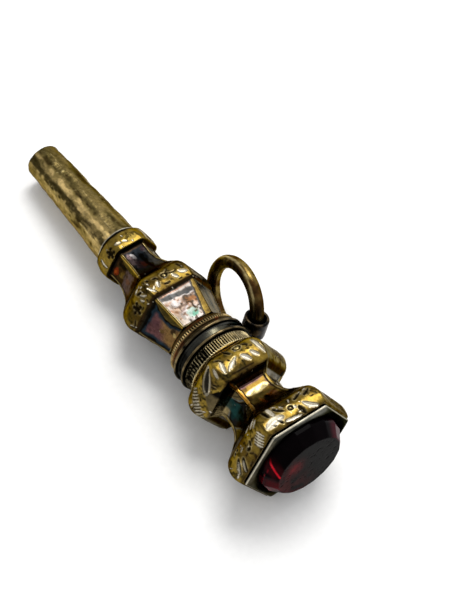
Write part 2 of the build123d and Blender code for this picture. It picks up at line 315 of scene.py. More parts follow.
def link(thing):
    """Puts an object into the scene."""
    bpy.context.scene.collection.objects.link(thing)
    return thing


def make_mesh(name, points, closed_rows=True, ends=False):
    """Smooth mesh of a grid of points in axis millimetres, closed round its columns. Its
    last row joins its first, or else each end may have a lid."""
    rows, columns = points.shape[:2]
    index = np.arange(rows * columns).reshape(rows, columns)
    grid = np.vstack([index, index[:1]]) if closed_rows else index
    grid = np.hstack([grid, grid[:, :1]])
    quads = np.stack([grid[:-1, :-1], grid[1:, :-1], grid[1:, 1:], grid[:-1, 1:]], -1)
    faces = quads.reshape(-1, 4).tolist()
    if ends:
        faces += [index[0].tolist(), index[-1][::-1].tolist()]
    mesh = bpy.data.meshes.new(name)
    mesh.from_pydata(to_row(points.reshape(-1, 3)).tolist(), [], faces)
    mesh.update()
    mesh.polygons.foreach_set("use_smooth", [True] * len(mesh.polygons))
    return link(bpy.data.objects.new(name, mesh))


def raised(points, height):
    """Grid closed both ways, with each point moved outwards by its height."""
    along = np.roll(points, -1, 0) - np.roll(points, 1, 0)
    around = np.roll(points, -1, 1) - np.roll(points, 1, 1)
    normal = np.cross(along, around)
    length = np.linalg.norm(normal, axis=-1, keepdims=True)
    return points + normal / np.maximum(length, 1e-9) * height[..., None]


def cavity(height, reach):
    """How far each point of a grid of heights lies below the mean of those around it."""
    mean = height
    for _ in range(reach):
        for axis in (0, 1):
            mean = (np.roll(mean, 1, axis) + 2 * mean + np.roll(mean, -1, axis)) / 4
    return mean - height


# Colours of the metals and their stains, as red, green and blue shares of light
def tint(code):
    """Linear colour from a six figure code."""
    parts = [int(code[i:i + 2], 16) / 255 for i in (0, 2, 4)]
    return np.array([c / 12.92 if c <= 0.04045 else ((c + 0.055) / 1.055) ** 2.4 for c in parts])


GOLD = tint("8E7632")
PALE_GOLD = tint("D2BE86")
OLD_GOLD = tint("5E4A1E")
OLIVE = tint("3C3418")
UMBER = tint("2E2010")
BLACK = tint("0B0A08")
BRASS = tint("B29A62")
COPPER = tint("B4702F")
ORANGE = tint("C26A1E")
ROSE = tint("D8A890")
RUST = tint("7E2E12")
TEAL = tint("1E403E")
BLUE_GREY = tint("4C5A66")
SLATE = tint("2A3036")
PEARL = tint("F4ECEA")
MINT = tint("A4DCCB")
SILVER = tint("E2DAC4")
GREY = tint("86847E")
MAUVE = tint("9C8482")
PURPLE = tint("463236")
BROWN = tint("5E3C2A")

# Share of light that the stains keep on the waist's left panel, and on the lantern's and
# the neck's top panels
WAIST_SHADE = 0.35
PEARL_SHADE = 0.33
NECK_SHADE = 0.22


def blend_in(paint, colour, amount):
    """Paint moved towards a colour by an amount from 0 to 1 at each point."""
    amount = np.clip(amount, 0, 1)[..., None]
    return paint * (1 - amount) + colour * amount


def layered(paint, layers):
    """Paint with layers laid over it in turn, each a colour and its amount."""
    for colour, amount in layers:
        paint = blend_in(paint, colour, amount)
    return paint


def coat(points, colour):
    """One colour at every point."""
    return np.tile(colour, points.shape[:2] + (1,))


def within(along, across, mark):
    """Places along and across a mark on a flat, counted from its middle."""
    turn = radians(mark["turn"])
    a, b = along - mark["along"], across - mark["across"]
    return a * cos(turn) + b * sin(turn), b * cos(turn) - a * sin(turn)


# Patches of a flat, mostly stains and some painted highlights: place, length, width and turn as for cuts,
# colour and strength
PATCH = ("along", "across", "length", "width", "turn", "colour", "amount")


def patches_over(paint, along, across, ragged, patches):
    """Paint with soft patches, stains and some painted highlights, whose borders follow the ragged values."""
    for row in patches:
        patch = dict(zip(PATCH, row))
        p, q = within(along, across, patch)
        far = np.hypot(2 * p / patch["length"], 2 * q / patch["width"])
        covered = smooth_step(-0.15, 0.3, 1 - far + 0.5 * ragged)
        paint = blend_in(paint, patch["colour"], patch["amount"] * covered)
    return paint


# Engraved cuts on a flat: place along and across it, length, width, turn in degrees from
# the axis, bend, depth, and tone: a painted highlight on the cut above 0 and stained dark below
CUT = ("along", "across", "length", "width", "turn", "bend", "depth", "tone")


def cuts_field(along, across, cuts):
    """Depth, painted highlight, stain and dark outline at each point of a flat."""
    depth, painted_highlight, stain, rim = (np.zeros_like(along) for _ in range(4))
    for row in cuts:
        cut = dict(zip(CUT, row))
        p, q = within(along, across, cut)
        taper = np.clip(1 - (2 * p / cut["length"]) ** 2, 0, 1)
        half = np.maximum(cut["width"] / 2 * taper ** 0.6, 1e-4)
        far = np.abs(q - cut["bend"] * taper)
        inside = np.clip(1 - far / half, 0, 1)
        near = np.clip(1 - (far - half) / RIM_WIDTH, 0, 1) * (taper > 0)
        edge = smooth_step(0, 0.30, inside)
        depth = np.maximum(depth, cut["depth"] * inside)
        # a tone above 0 gives the cut's face a painted highlight
        bright = max(cut["tone"], 0) * edge
        painted_highlight = np.maximum(painted_highlight, bright)
        stain = np.maximum(stain * (1 - bright), max(-cut["tone"], 0) * edge)
        rim = np.maximum(rim, near)
    return depth, painted_highlight, stain, rim


# Punched rings on the top flats: place along and across the flat, and radius
DRUM_PUNCH = (1.33, 0.0, 0.20)
MOULDING_PUNCH = (2.90, -0.43, 0.36)
SHOULDER_PUNCH = (1.80, 0.08, 0.27)


def ring_punch(along, across, place, side_place, radius):
    """Depth of a punched ring on a flat."""
    r = np.hypot(along - place, across - side_place)
    return PUNCH_DEPTH * np.clip(1 - np.abs(r - radius) / PUNCH_WIDTH, 0, 1)


def placed(start, table):
    """Rows whose places along are counted from a part's start."""
    return [(row[0] + start,) + row[1:] for row in table]


def flower(along, across, petals, size, turn=0.0, stain=0.9):
    """Cuts of a small punched flower: a round middle and short fat petals."""
    rows = [(along, across, 0.62 * size, 0.60 * size, turn, 0.0, 0.14, -stain)]
    for i in range(petals):
        angle = turn + 360 * i / petals
        reach = 0.38 * size
        rows.append((
            along + reach * cos(radians(angle)), across + reach * sin(radians(angle)),
            0.32 * size, 0.32 * size, angle, 0.0, 0.10, -stain,
        ))
    return rows


def hatch(along, across, count, step, length, width, turn, depth, tone):
    """Parallel fine cuts, stepped along and across."""
    return [
        (along + i * step[0], across + i * step[1], length, width, turn, 0.04, depth, tone)
        for i in range(count)
    ]


def nicks(seed, count, length, half, size):
    """Small worn marks scattered over a stretch of a flat, some with a painted highlight and most stained
    dark.
    """
    pick = np.random.RandomState(seed)
    rows = []
    for _ in range(count):
        bright = pick.rand() < 0.35
        rows.append((
            length * pick.rand(), half * (2 * pick.rand() - 1), size * (0.6 + pick.rand()),
            size * (0.25 + 0.25 * pick.rand()), 180 * pick.rand(), 0.03, 0.07,
            0.75 if bright else -0.75,
        ))
    return rows


DRUM_TOP = nicks(201, 14, 2.6, 2.9, 0.34) + [
    (2.24, 2.32, 1.35, 0.46, 5, 0.0, 0.16, -1.0),
    (2.12, 1.81, 1.60, 0.50, 0, 0.0, 0.12, 0.75),
    (0.83, 2.11, 2.20, 0.95, -81, 0.12, 0.16, 1.0),
    (0.66, 1.63, 0.75, 0.24, 25, 0.0, 0.24, -0.9),
    (0.66, 2.37, 0.55, 0.18, 40, 0.0, 0.22, -0.7),
    (0.57, -0.83, 1.05, 0.52, 12, 0.0, 0.14, -0.85),
    (0.63, -1.87, 1.60, 0.52, 46, 0.14, 0.16, 1.0),
    (2.13, -1.28, 1.15, 0.40, -62, 0.0, 0.18, -1.0),
    (2.01, -2.29, 1.05, 0.42, -59, 0.0, 0.18, -1.0),
    (0.26, 0.35, 1.80, 0.30, 82, 0.0, 0.08, 1.0),
    (1.87, 1.06, 1.30, 0.34, 38, 0.08, 0.16, -1.0),
    (1.17, -0.44, 0.32, 0.28, 0, 0.0, 0.10, 1.0),
]
DRUM_LEFT = nicks(202, 22, 2.6, 2.9, 0.36) + [
    (2.65, -2.33, 1.20, 0.36, -59, 0.05, 0.12, 0.85),
    (2.20, -2.65, 0.95, 0.28, -62, 0.05, 0.12, 0.7),
    (2.88, -1.35, 0.90, 0.34, -62, 0.05, 0.12, 0.8),
    (2.43, 0.99, 0.42, 0.36, 20, 0.0, 0.16, -1.0),
    (2.38, 1.46, 0.38, 0.32, 60, 0.0, 0.16, -1.0),
    (1.17, -0.42, 0.55, 0.42, 75, 0.0, 0.14, -0.9),
    (1.40, -0.96, 0.60, 0.26, -30, 0.0, 0.14, -1.0),
    (1.09, 1.83, 1.65, 0.42, -45, 0.06, 0.18, -0.95),
    (1.02, 2.08, 1.30, 0.16, -45, 0.06, 0.05, 0.8),
    (0.69, 1.18, 1.50, 0.42, -41, 0.06, 0.18, -0.95),
    (0.62, 1.44, 1.20, 0.14, -41, 0.06, 0.05, 0.8),
    (0.17, 0.64, 0.70, 0.16, -80, 0.0, 0.10, -0.7),
    (1.85, 0.35, 0.60, 0.20, 100, 0.0, 0.12, 0.5),
] + hatch(0.95, -2.55, 5, (-0.11, 0.26), 1.00, 0.20, 12, 0.10, 1.0)
DRUM_RIGHT = nicks(203, 10, 2.6, 2.9, 0.34) + hatch(
    0.85, -2.3, 14, (0.02, 0.33), 1.9, 0.18, 37, 0.08, -0.7)

MOULDING_TOP_CUTS = nicks(204, 12, 3.4, 2.5, 0.34) + [
    (1.55, 2.03, 1.35, 0.46, -12, 0.06, 0.16, 1.0),
    (1.45, 0.85, 1.40, 0.30, -51, 0.05, 0.16, 1.0),
    (1.30, 1.24, 1.35, 0.28, -51, 0.05, 0.14, 1.0),
    (1.30, -0.50, 1.15, 0.60, 35, 0.0, 0.14, 1.0),
    (1.25, -1.50, 1.05, 0.46, 33, 0.06, 0.14, 0.85),
    (1.77, -2.30, 2.10, 0.42, 9, 0.06, 0.16, 1.0),
    (1.35, -3.02, 1.60, 0.14, 11, 0.0, 0.06, 0.8),
    (3.02, 0.69, 1.30, 0.40, 14, 0.05, 0.16, -1.0),
    (2.60, 2.10, 0.60, 0.26, 60, 0.0, 0.10, -0.8),
    (2.75, -1.25, 0.80, 0.26, 40, 0.0, 0.10, -0.7),
    (0.45, 0.4, 2.6, 0.20, 88, 0.0, 0.05, -0.6),
]
MOULDING_LEFT_CUTS = nicks(205, 14, 3.4, 2.5, 0.36) + [
    (2.03, -1.03, 3.00, 1.25, -56, 0.0, 0.16, 0.45),
    (2.08, -1.00, 2.50, 0.86, -56, 0.0, 0.28, -1.0),
    (1.52, -2.43, 1.00, 0.40, -27, 0.0, 0.14, 0.8),
] + hatch(2.95, 0.75, 11, (-0.24, 0.21), 1.00, 0.17, 43, 0.10, 0.5) + hatch(
    2.83, 0.86, 11, (-0.24, 0.21), 1.00, 0.12, 43, 0.12, -0.8)
MOULDING_RIGHT_CUTS = nicks(206, 8, 3.4, 2.5, 0.34) + hatch(
    1.2, -1.9, 9, (0.05, 0.42), 1.6, 0.16, 24, 0.08, -0.6)

SHOULDER_TOP_CUTS = nicks(207, 14, 2.6, 2.3, 0.30) + [
    (0.95, 2.10, 1.00, 0.32, 35, 0.05, 0.12, 1.0),
    (1.13, 1.19, 0.75, 0.40, -20, 0.05, 0.12, 0.9),
    (1.07, -0.81, 0.80, 0.38, 30, 0.05, 0.12, 1.0),
    (1.16, -1.75, 0.95, 0.44, 60, 0.05, 0.12, 1.0),
    (1.98, 1.15, 0.55, 0.32, 70, 0.0, 0.12, -0.9),
    (2.15, 1.90, 0.42, 0.28, 20, 0.0, 0.12, -0.9),
    (2.13, 2.42, 0.40, 0.24, 20, 0.0, 0.12, -0.9),
    (1.85, -0.75, 1.20, 0.18, 78, 0.22, 0.12, -0.9),
    (2.25, -0.30, 0.80, 0.16, -60, -0.12, 0.12, -0.8),
    (0.80, 0.35, 0.80, 0.20, 85, 0.08, 0.10, -0.7),
    (2.10, -1.85, 0.80, 0.24, 15, 0.06, 0.10, -0.7),
]
SHOULDER_LEFT_CUTS = nicks(208, 14, 2.6, 2.3, 0.30) + [
    (1.92, -1.33, 0.95, 0.34, 60, 0.05, 0.16, -1.0),
    (1.30, -1.60, 1.00, 0.20, 40, 0.05, 0.12, 0.75),
    (2.46, -1.11, 0.70, 0.24, 95, 0.05, 0.12, 0.8),
    (1.08, -1.13, 0.60, 0.20, 30, 0.05, 0.12, 0.8),
    (0.60, 1.55, 0.90, 0.22, 110, 0.0, 0.10, -0.6),
] + flower(1.21, 0.06, 5, 1.30, 20)
SHOULDER_RIGHT_CUTS = nicks(209, 8, 2.6, 2.3, 0.3) + hatch(
    1.3, -1.5, 8, (0.0, 0.42), 1.5, 0.16, 70, 0.09, -0.7)
# The collar's shallow bright cuts are painted highlights
COLLAR_TOP_CUTS = nicks(210, 3, 2.2, 1.5, 0.22) + [
    (1.27, 1.06, 0.80, 0.40, 80, 0.0, 0.04, 0.45),
    (1.14, 0.27, 0.60, 0.30, 60, 0.0, 0.04, 0.5),
    (0.75, -0.43, 0.22, 0.22, 0, 0.0, 0.05, 0.7),
]
COLLAR_LEFT_CUTS = nicks(211, 3, 2.2, 1.5, 0.22) + flower(1.07, -0.92, 5, 1.20, 20, 1.0) + [
    (1.24, 0.57, 1.20, 0.24, -10, 0.08, 0.08, 1.0),
]
COLLAR_RIGHT_CUTS = nicks(212, 8, 2.2, 1.5, 0.26) + flower(1.1, 0.0, 4, 0.9, 0, 0.8)

# Stains of the hollow panels, and painted highlights on the waist's and the neck's top panels, from the start
# of each panel
WAIST_TOP_STAINS_AND_HIGHLIGHT = [
    (0.35, 0.0, 0.9, 4.2, 0, UMBER, 0.75),
    (1.00, 0.5, 1.2, 0.35, 10, ORANGE, 0.5),
    (1.20, -0.35, 0.9, 0.25, -5, ORANGE, 0.45),
    (1.60, 0.2, 0.9, 3.0, 0, OLIVE, 0.65),
    (2.10, 1.40, 0.9, 0.7, 30, UMBER, 0.75),
    (2.55, -1.35, 1.3, 0.5, 0, PURPLE, 0.6),
    # painted highlight across the hollow of the waist's top panel
    (2.55, 0.0, 0.75, 2.6, 0, PALE_GOLD, 0.95),
    (3.15, 1.10, 0.55, 0.6, 0, UMBER, 0.8),
    (3.60, 0.2, 0.65, 3.6, 0, PURPLE, 0.85),
    (1.05, -0.9, 1.3, 0.8, 20, BROWN, 0.7),
]
WAIST_LEFT_STAINS = [
    (2.05, 0.1, 4.0, 3.2, 0, SLATE, 0.8),
    (2.15, 0.2, 2.4, 1.7, -20, TEAL, 0.95),
    (2.40, -0.2, 0.9, 0.9, 0, BLACK, 0.9),
    (1.30, 0.45, 0.7, 0.5, 10, BLACK, 0.8),
    (0.90, -0.9, 1.6, 0.8, 0, BLACK, 0.9),
]
LANTERN_TOP_STAINS = [
    (2.00, 0.0, 3.0, 3.4, 0, ROSE, 0.40),
    (2.60, -0.7, 1.3, 1.8, 20, BROWN, 0.75),
    (2.75, -0.4, 0.7, 0.8, 60, UMBER, 0.8),
    (2.25, -1.0, 1.0, 0.8, 60, COPPER, 0.7),
    (2.60, 0.80, 0.9, 1.0, 0, PEARL, 0.9),
    (2.05, 0.10, 0.4, 2.2, -8, BROWN, 0.75),
    (1.65, 0.45, 0.6, 1.3, 10, MAUVE, 0.8),
    (1.10, 0.0, 1.5, 2.2, 0, PEARL, 0.8),
    (0.95, -0.15, 1.15, 1.35, 30, MINT, 0.60),
    (0.80, -0.30, 0.55, 0.85, 40, tint("78C4AA"), 0.95),
    (1.00, 0.95, 1.0, 0.4, 0, GREY, 0.6),
    (0.35, 0.2, 0.40, 2.0, 0, PEARL, 0.9),
]
LANTERN_LEFT_STAINS = [
    (2.90, 0.15, 0.9, 1.0, 0, tint("4C3236"), 0.6),
    (1.90, 0.35, 0.7, 0.6, 0, OLD_GOLD, 0.6),
    (0.75, -0.45, 0.9, 0.8, 0, BLACK, 0.85),
    (0.50, -0.30, 0.4, 0.45, 0, BRASS, 0.7),
]
COLLAR_STAIN = (1.35, -0.45, 1.2, 1.3, 0, OLIVE)
NECK_TOP_STAINS_AND_HIGHLIGHT = [
    # the first two rows are a painted highlight on the upper left of the panel
    (2.60, 0.75, 2.0, 0.9, 0, MAUVE, 0.9),
    (3.10, 0.45, 1.0, 0.4, 10, PEARL, 0.9),
    (1.70, 0.40, 2.2, 0.9, 10, PURPLE, 0.9),
    (1.50, 0.05, 1.1, 0.7, 0, RUST, 0.45),
    (1.90, -0.30, 2.6, 0.6, 0, BLACK, 0.9),
    (1.60, -1.05, 3.4, 0.9, 0, GREY, 0.8),
    (3.40, -1.0, 0.7, 0.9, 0, PURPLE, 0.7),
]
NECK_LEFT_STAINS = [
    (3.50, 0.55, 0.7, 0.8, 0, RUST, 0.75),
    (3.60, 0.60, 0.3, 0.4, 0, ORANGE, 0.2),
    (2.70, 0.35, 0.9, 1.1, 0, OLD_GOLD, 0.7),
    (1.10, 0.30, 2.8, 2.6, 0, MAUVE * 0.25, 0.85),
    (1.60, 0.20, 0.9, 0.7, 0, BROWN, 0.5),
    (3.10, -0.45, 1.2, 0.6, 0, BLACK, 0.9),
    (0.35, -0.35, 0.9, 1.0, 0, BLACK, 0.95),
]


def rings(rows, columns, sides=HEX):
    """Grid of a many-sided or round piece from rows of (station, flat, corner radius), with
    each point's place across its side, and the side of each column."""
    points, across, side = [], [], None
    for station, flat, corner in rows:
        section, place, side = polygon_ring(flat, min(corner, flat), sides, columns)
        points.append(np.column_stack([np.full(len(section), station), section]))
        across.append(place)
    return np.array(points), np.array(across), side


def round_rows(profile, columns):
    """Grid of a turned piece from (station, radius) rows."""
    return rings([(station, radius, radius) for station, radius in profile], columns)[0]


def by_side(top, left, on_top, on_left, on_right):
    """Colours of the flats that face up, to the left and to the right."""
    return np.where(top[..., None], on_top, np.where(left[..., None], on_left, on_right))


def add_paint(piece, paint, rough, metal=1.0):
    """Colour, roughness and metallic share of each point, which the material reads."""
    mesh = piece.data
    layer = mesh.attributes.new("paint", "FLOAT_COLOR", "POINT")
    rgba = np.concatenate([paint.reshape(-1, 3), np.ones((paint.size // 3, 1))], 1)
    layer.data.foreach_set("color", rgba.astype(np.float32).ravel())
    for key, values in (("rough", np.clip(rough, 0.06, 0.95)), ("metal", metal)):
        layer = mesh.attributes.new(key, "FLOAT", "POINT")
        full = np.broadcast_to(values, paint.shape[:2])
        layer.data.foreach_set("value", full.astype(np.float32).ravel())
    return piece


def engrave(run, across, side, tables, punches):
    """Depth, painted highlight, stain and outlines of the cuts on all six flats, from the tables
    of the three that face up, which repeat below."""
    fields = [np.zeros(across.shape) for _ in range(4)]
    for s in range(HEX):
        here = side == s
        found = list(cuts_field(run[:, here], across[:, here], tables[s % 3]))
        if s % 3 == 0:
            for mark in punches:
                punch = ring_punch(run[:, here], across[:, here], *mark)
                found[0] = np.maximum(found[0], punch)
                found[2] = np.maximum(found[2], smooth_step(0, 0.08, punch))
        for field, value in zip(fields, found):
            field[:, here] = value
    return fields


def worn_gold(points, height, seed):
    """Gold with olive and brown tarnish gathered in its hollows, rubbed pale on its crests."""
    broad = lumps(points, 1.3, seed)
    patchy = lumps(points, 0.5, seed + 1)
    fine = lumps(points, 0.2, seed + 2)
    paint = coat(points, GOLD)
    hollow = cavity(height, 5)
    paint = layered(paint, [
        (OLD_GOLD, smooth_step(-0.45, 0.5, broad + 0.6 * patchy)),
        (OLIVE, 0.85 * smooth_step(0.12, 0.7, patchy + 0.7 * fine)),
        (BLACK, 0.8 * smooth_step(0.62, 0.95, fine + 0.5 * patchy)),
        (UMBER, 0.9 * smooth_step(0.004, 0.028, hollow)),
    ])
    return blend_in(paint, PALE_GOLD, 0.8 * smooth_step(0.005, 0.025, -hollow))


def cut_colours(paint, painted_highlight, stain, rim):
    """Paint with the dark outlines and stained hollows of the cuts, and the painted highlights on their faces
    with painted pinkish shading in them.
    """
    paint = layered(paint, [
        (UMBER, 0.85 * rim * (1 - painted_highlight) * (1 - stain)),
        (MAUVE, smooth_step(0.6, 1.0, painted_highlight) * 0.5),
        (SILVER, painted_highlight * 0.9),
    ])
    return blend_in(paint, BLACK, stain * 0.96)


def dark_borders(paint, run, places, width, ragged):
    """Paint darkened along the lines where a shell's stretches meet."""
    for place in places:
        border = 1 - smooth_step(0.05, width, np.abs(run - place) + 0.10 * ragged)
        paint = blend_in(paint, UMBER, 0.75 * border)
    return paint


def shell_grid(outer, along, corner, inside, columns):
    """Grid of a shell from its outline and its inner rows. For each point it also gives the
    run along the outline, the place across its side and the distance from the side's edge,
    and for each column its side, and whether it faces up, to the left or to the right."""
    rows = [(x, flat, c) for (x, flat), c in zip(outer, corner)] + inside
    points, across, side = rings(rows, columns)
    run = np.concatenate([along, np.full(len(inside), INSIDE)])[:, None] + 0 * across
    half = np.array([row[1] for row in rows])[:, None] * tan(pi / HEX)
    faces = [(side % 3 == s)[None, :] for s in range(3)]
    return points, run, across, half - np.abs(across), side, *faces


def lower_shell():
    """Base drum, hollowed waist and lower moulding, engraved and worn."""
    outer, along, ends = outline((shell_front, DRUM_FRONT), [
        ((shell_front + 0.45 * DRUM_LENGTH, DRUM_MIDDLE), (drum_end, DRUM_BACK)),
        ((slope_end, WAIST_TOP),),
        ((slope_end + 0.55 * WAIST_LENGTH, WAIST_MIDDLE), (waist_end, WAIST_MIDDLE)),
        ((moulding_start, MOULDING_FOOT),),
        ((moulding_start + 0.45 * MOULDING_LENGTH, MOULDING_MIDDLE), (moulding_end, MOULDING_BACK)),
        ((shell_end, MOULDING_TOP),),
    ], SHELL_PITCH)
    _, slope, waist, undercut, moulding, lip, end = ends
    corner = np.interp(along, ends, [0.30, 0.45, 0.14, 0.12, 0.40, 0.50, 0.40])
    points, run, across, from_edge, side, top, left, right = shell_grid(outer, along, corner, [
        (shell_end, SPINDLE_HOLE, SPINDLE_HOLE),
        (drum_end + GAP, SPINDLE_HOLE, SPINDLE_HOLE),
        (drum_end + GAP, DRUM_FRONT - 2 * WALL, 0.2),
        (shell_front, DRUM_FRONT - WALL, 0.2),
    ], HEX * LOWER_COLUMNS)
    depth, painted_highlight, stain, rim = engrave(run, across, side, [
        DRUM_TOP + placed(moulding, MOULDING_TOP_CUTS),
        DRUM_LEFT + placed(moulding, MOULDING_LEFT_CUTS),
        DRUM_RIGHT + placed(moulding, MOULDING_RIGHT_CUTS),
    ], [DRUM_PUNCH] + placed(moulding, [MOULDING_PUNCH]))
    ragged = lumps(points, 0.5, 1)
    panel = between(run, waist - 0.9, undercut + 1.0, 0.25)
    sunk = panel * smooth_step(0.20, 0.36, from_edge + 0.05 * ragged)
    wear = 0.022 * lumps(points, 1.1, 3) + 0.016 * lumps(points, 0.42, 4) - 0.038
    height = (wear - depth - 0.10 * sunk) * (run >= 0)
    points = raised(points, height)

    gold = worn_gold(points, height, 5)
    gold = gold * np.where(run < slope, 0.72, 0.93)[..., None]
    between_panels = np.where(top, across > 0, left & (across < 0))
    warm_rib = panel * (1 - smooth_step(0.10, 0.26, from_edge)) * (top | left)
    gold = layered(gold, [
        (tint("78745C"), right * np.where(run < slope, 0.4, 0.75)),
        (UMBER, 0.8 * right * smooth_step(0.1, 0.5, ragged + 0.6 * lumps(points, 1.0, 8))),
        (UMBER, 0.6 * warm_rib * ~between_panels),
        (tint("B07A2A"), 0.7 * warm_rib * between_panels),
    ])
    bite = 1.25 * bell(across - 0.25, 0.95) + 0.12 * ragged
    past_bite = smooth_step(0.0, 0.12, run - moulding - bite)
    bitten = left * smooth_step(moulding - 0.2, moulding - 0.1, run) * (1 - past_bite)
    bite_paint = blend_in(coat(points, BLACK), tint("5A4F36"), smooth_step(-0.4, 0.1, across + 0.2 * ragged))
    start = run - waist
    top_panel = patches_over(coat(points, OLD_GOLD), start, across, 0.4 * ragged, WAIST_TOP_STAINS_AND_HIGHLIGHT)
    left_panel = patches_over(coat(points, UMBER), start, across, ragged, WAIST_LEFT_STAINS)
    star = np.abs(start - 2.05) / 2.1 + np.abs(across - 0.15) / 1.55 + 0.22 * lumps(points, 0.8, 7)
    left_panel = layered(left_panel * WAIST_SHADE, [
        (tint("54492F"), smooth_step(0.95, 1.05, star)),
        (BLACK, between(star, 0.90, 1.00, 0.03)),
        (BLUE_GREY, between(star, 1.06, 1.13, 0.02) * 0.7),
        (BLACK, between(star, 1.34, 1.42, 0.03) * 0.8),
    ])
    right_panel = blend_in(coat(points, GREY), SLATE, smooth_step(-0.2, 0.6, ragged) * 0.5)
    paint = blend_in(gold, by_side(top, left, top_panel, left_panel, right_panel), sunk)
    rib_line = panel * between(from_edge + 0.05 * ragged, 0.30, 0.40, 0.04)
    on_slope = between(run, slope - 0.05, waist + 0.15, 0.12) * smooth_step(0.10, 0.25, from_edge)
    in_undercut = between(run, undercut + 0.45, moulding - 0.05, 0.10)
    open_side = left * smooth_step(-0.4, 0.1, across + 0.2 * ragged)
    rim_zone = open_side * between(run, undercut - 0.3, moulding, 0.3)
    in_star = between(across + 0.3 * ragged, -0.55, 0.75, 0.15) * smooth_step(0.15, 0.3, from_edge)
    teal_zone = left * between(run, undercut - 1.2, moulding - 0.1, 0.2) * in_star
    # Black under the moulding's overhang stands for tarnish and painted shade
    covered = in_undercut * smooth_step(0.05, 0.2, from_edge) * (1 - 0.75 * open_side)
    paint = layered(paint, [
        (BLACK, 0.8 * rib_line),
        (BLACK, 0.95 * on_slope * smooth_step(-0.75, -0.2, ragged)),
        (tint("8A7A54"), rim_zone * 0.8),
        (tint("14302E"), 0.9 * teal_zone),
        (BLACK, 0.97 * covered),
    ])
    paint = dark_borders(paint, run, (0.0, slope, moulding, lip), 0.30, ragged)
    paint = blend_in(paint, PALE_GOLD, 0.8 * between(run, lip + 0.10, end - 0.15, 0.06))
    paint = blend_in(paint, bite_paint, bitten)
    paint = cut_colours(paint, painted_highlight, stain, rim)
    rough = 0.24 + 0.10 * lumps(points, 0.6, 10) + 0.06 * painted_highlight + 0.15 * stain - 0.06 * sunk
    return add_paint(make_mesh("base_drum_and_moulding", points), paint, rough, 1 - 0.5 * painted_highlight)


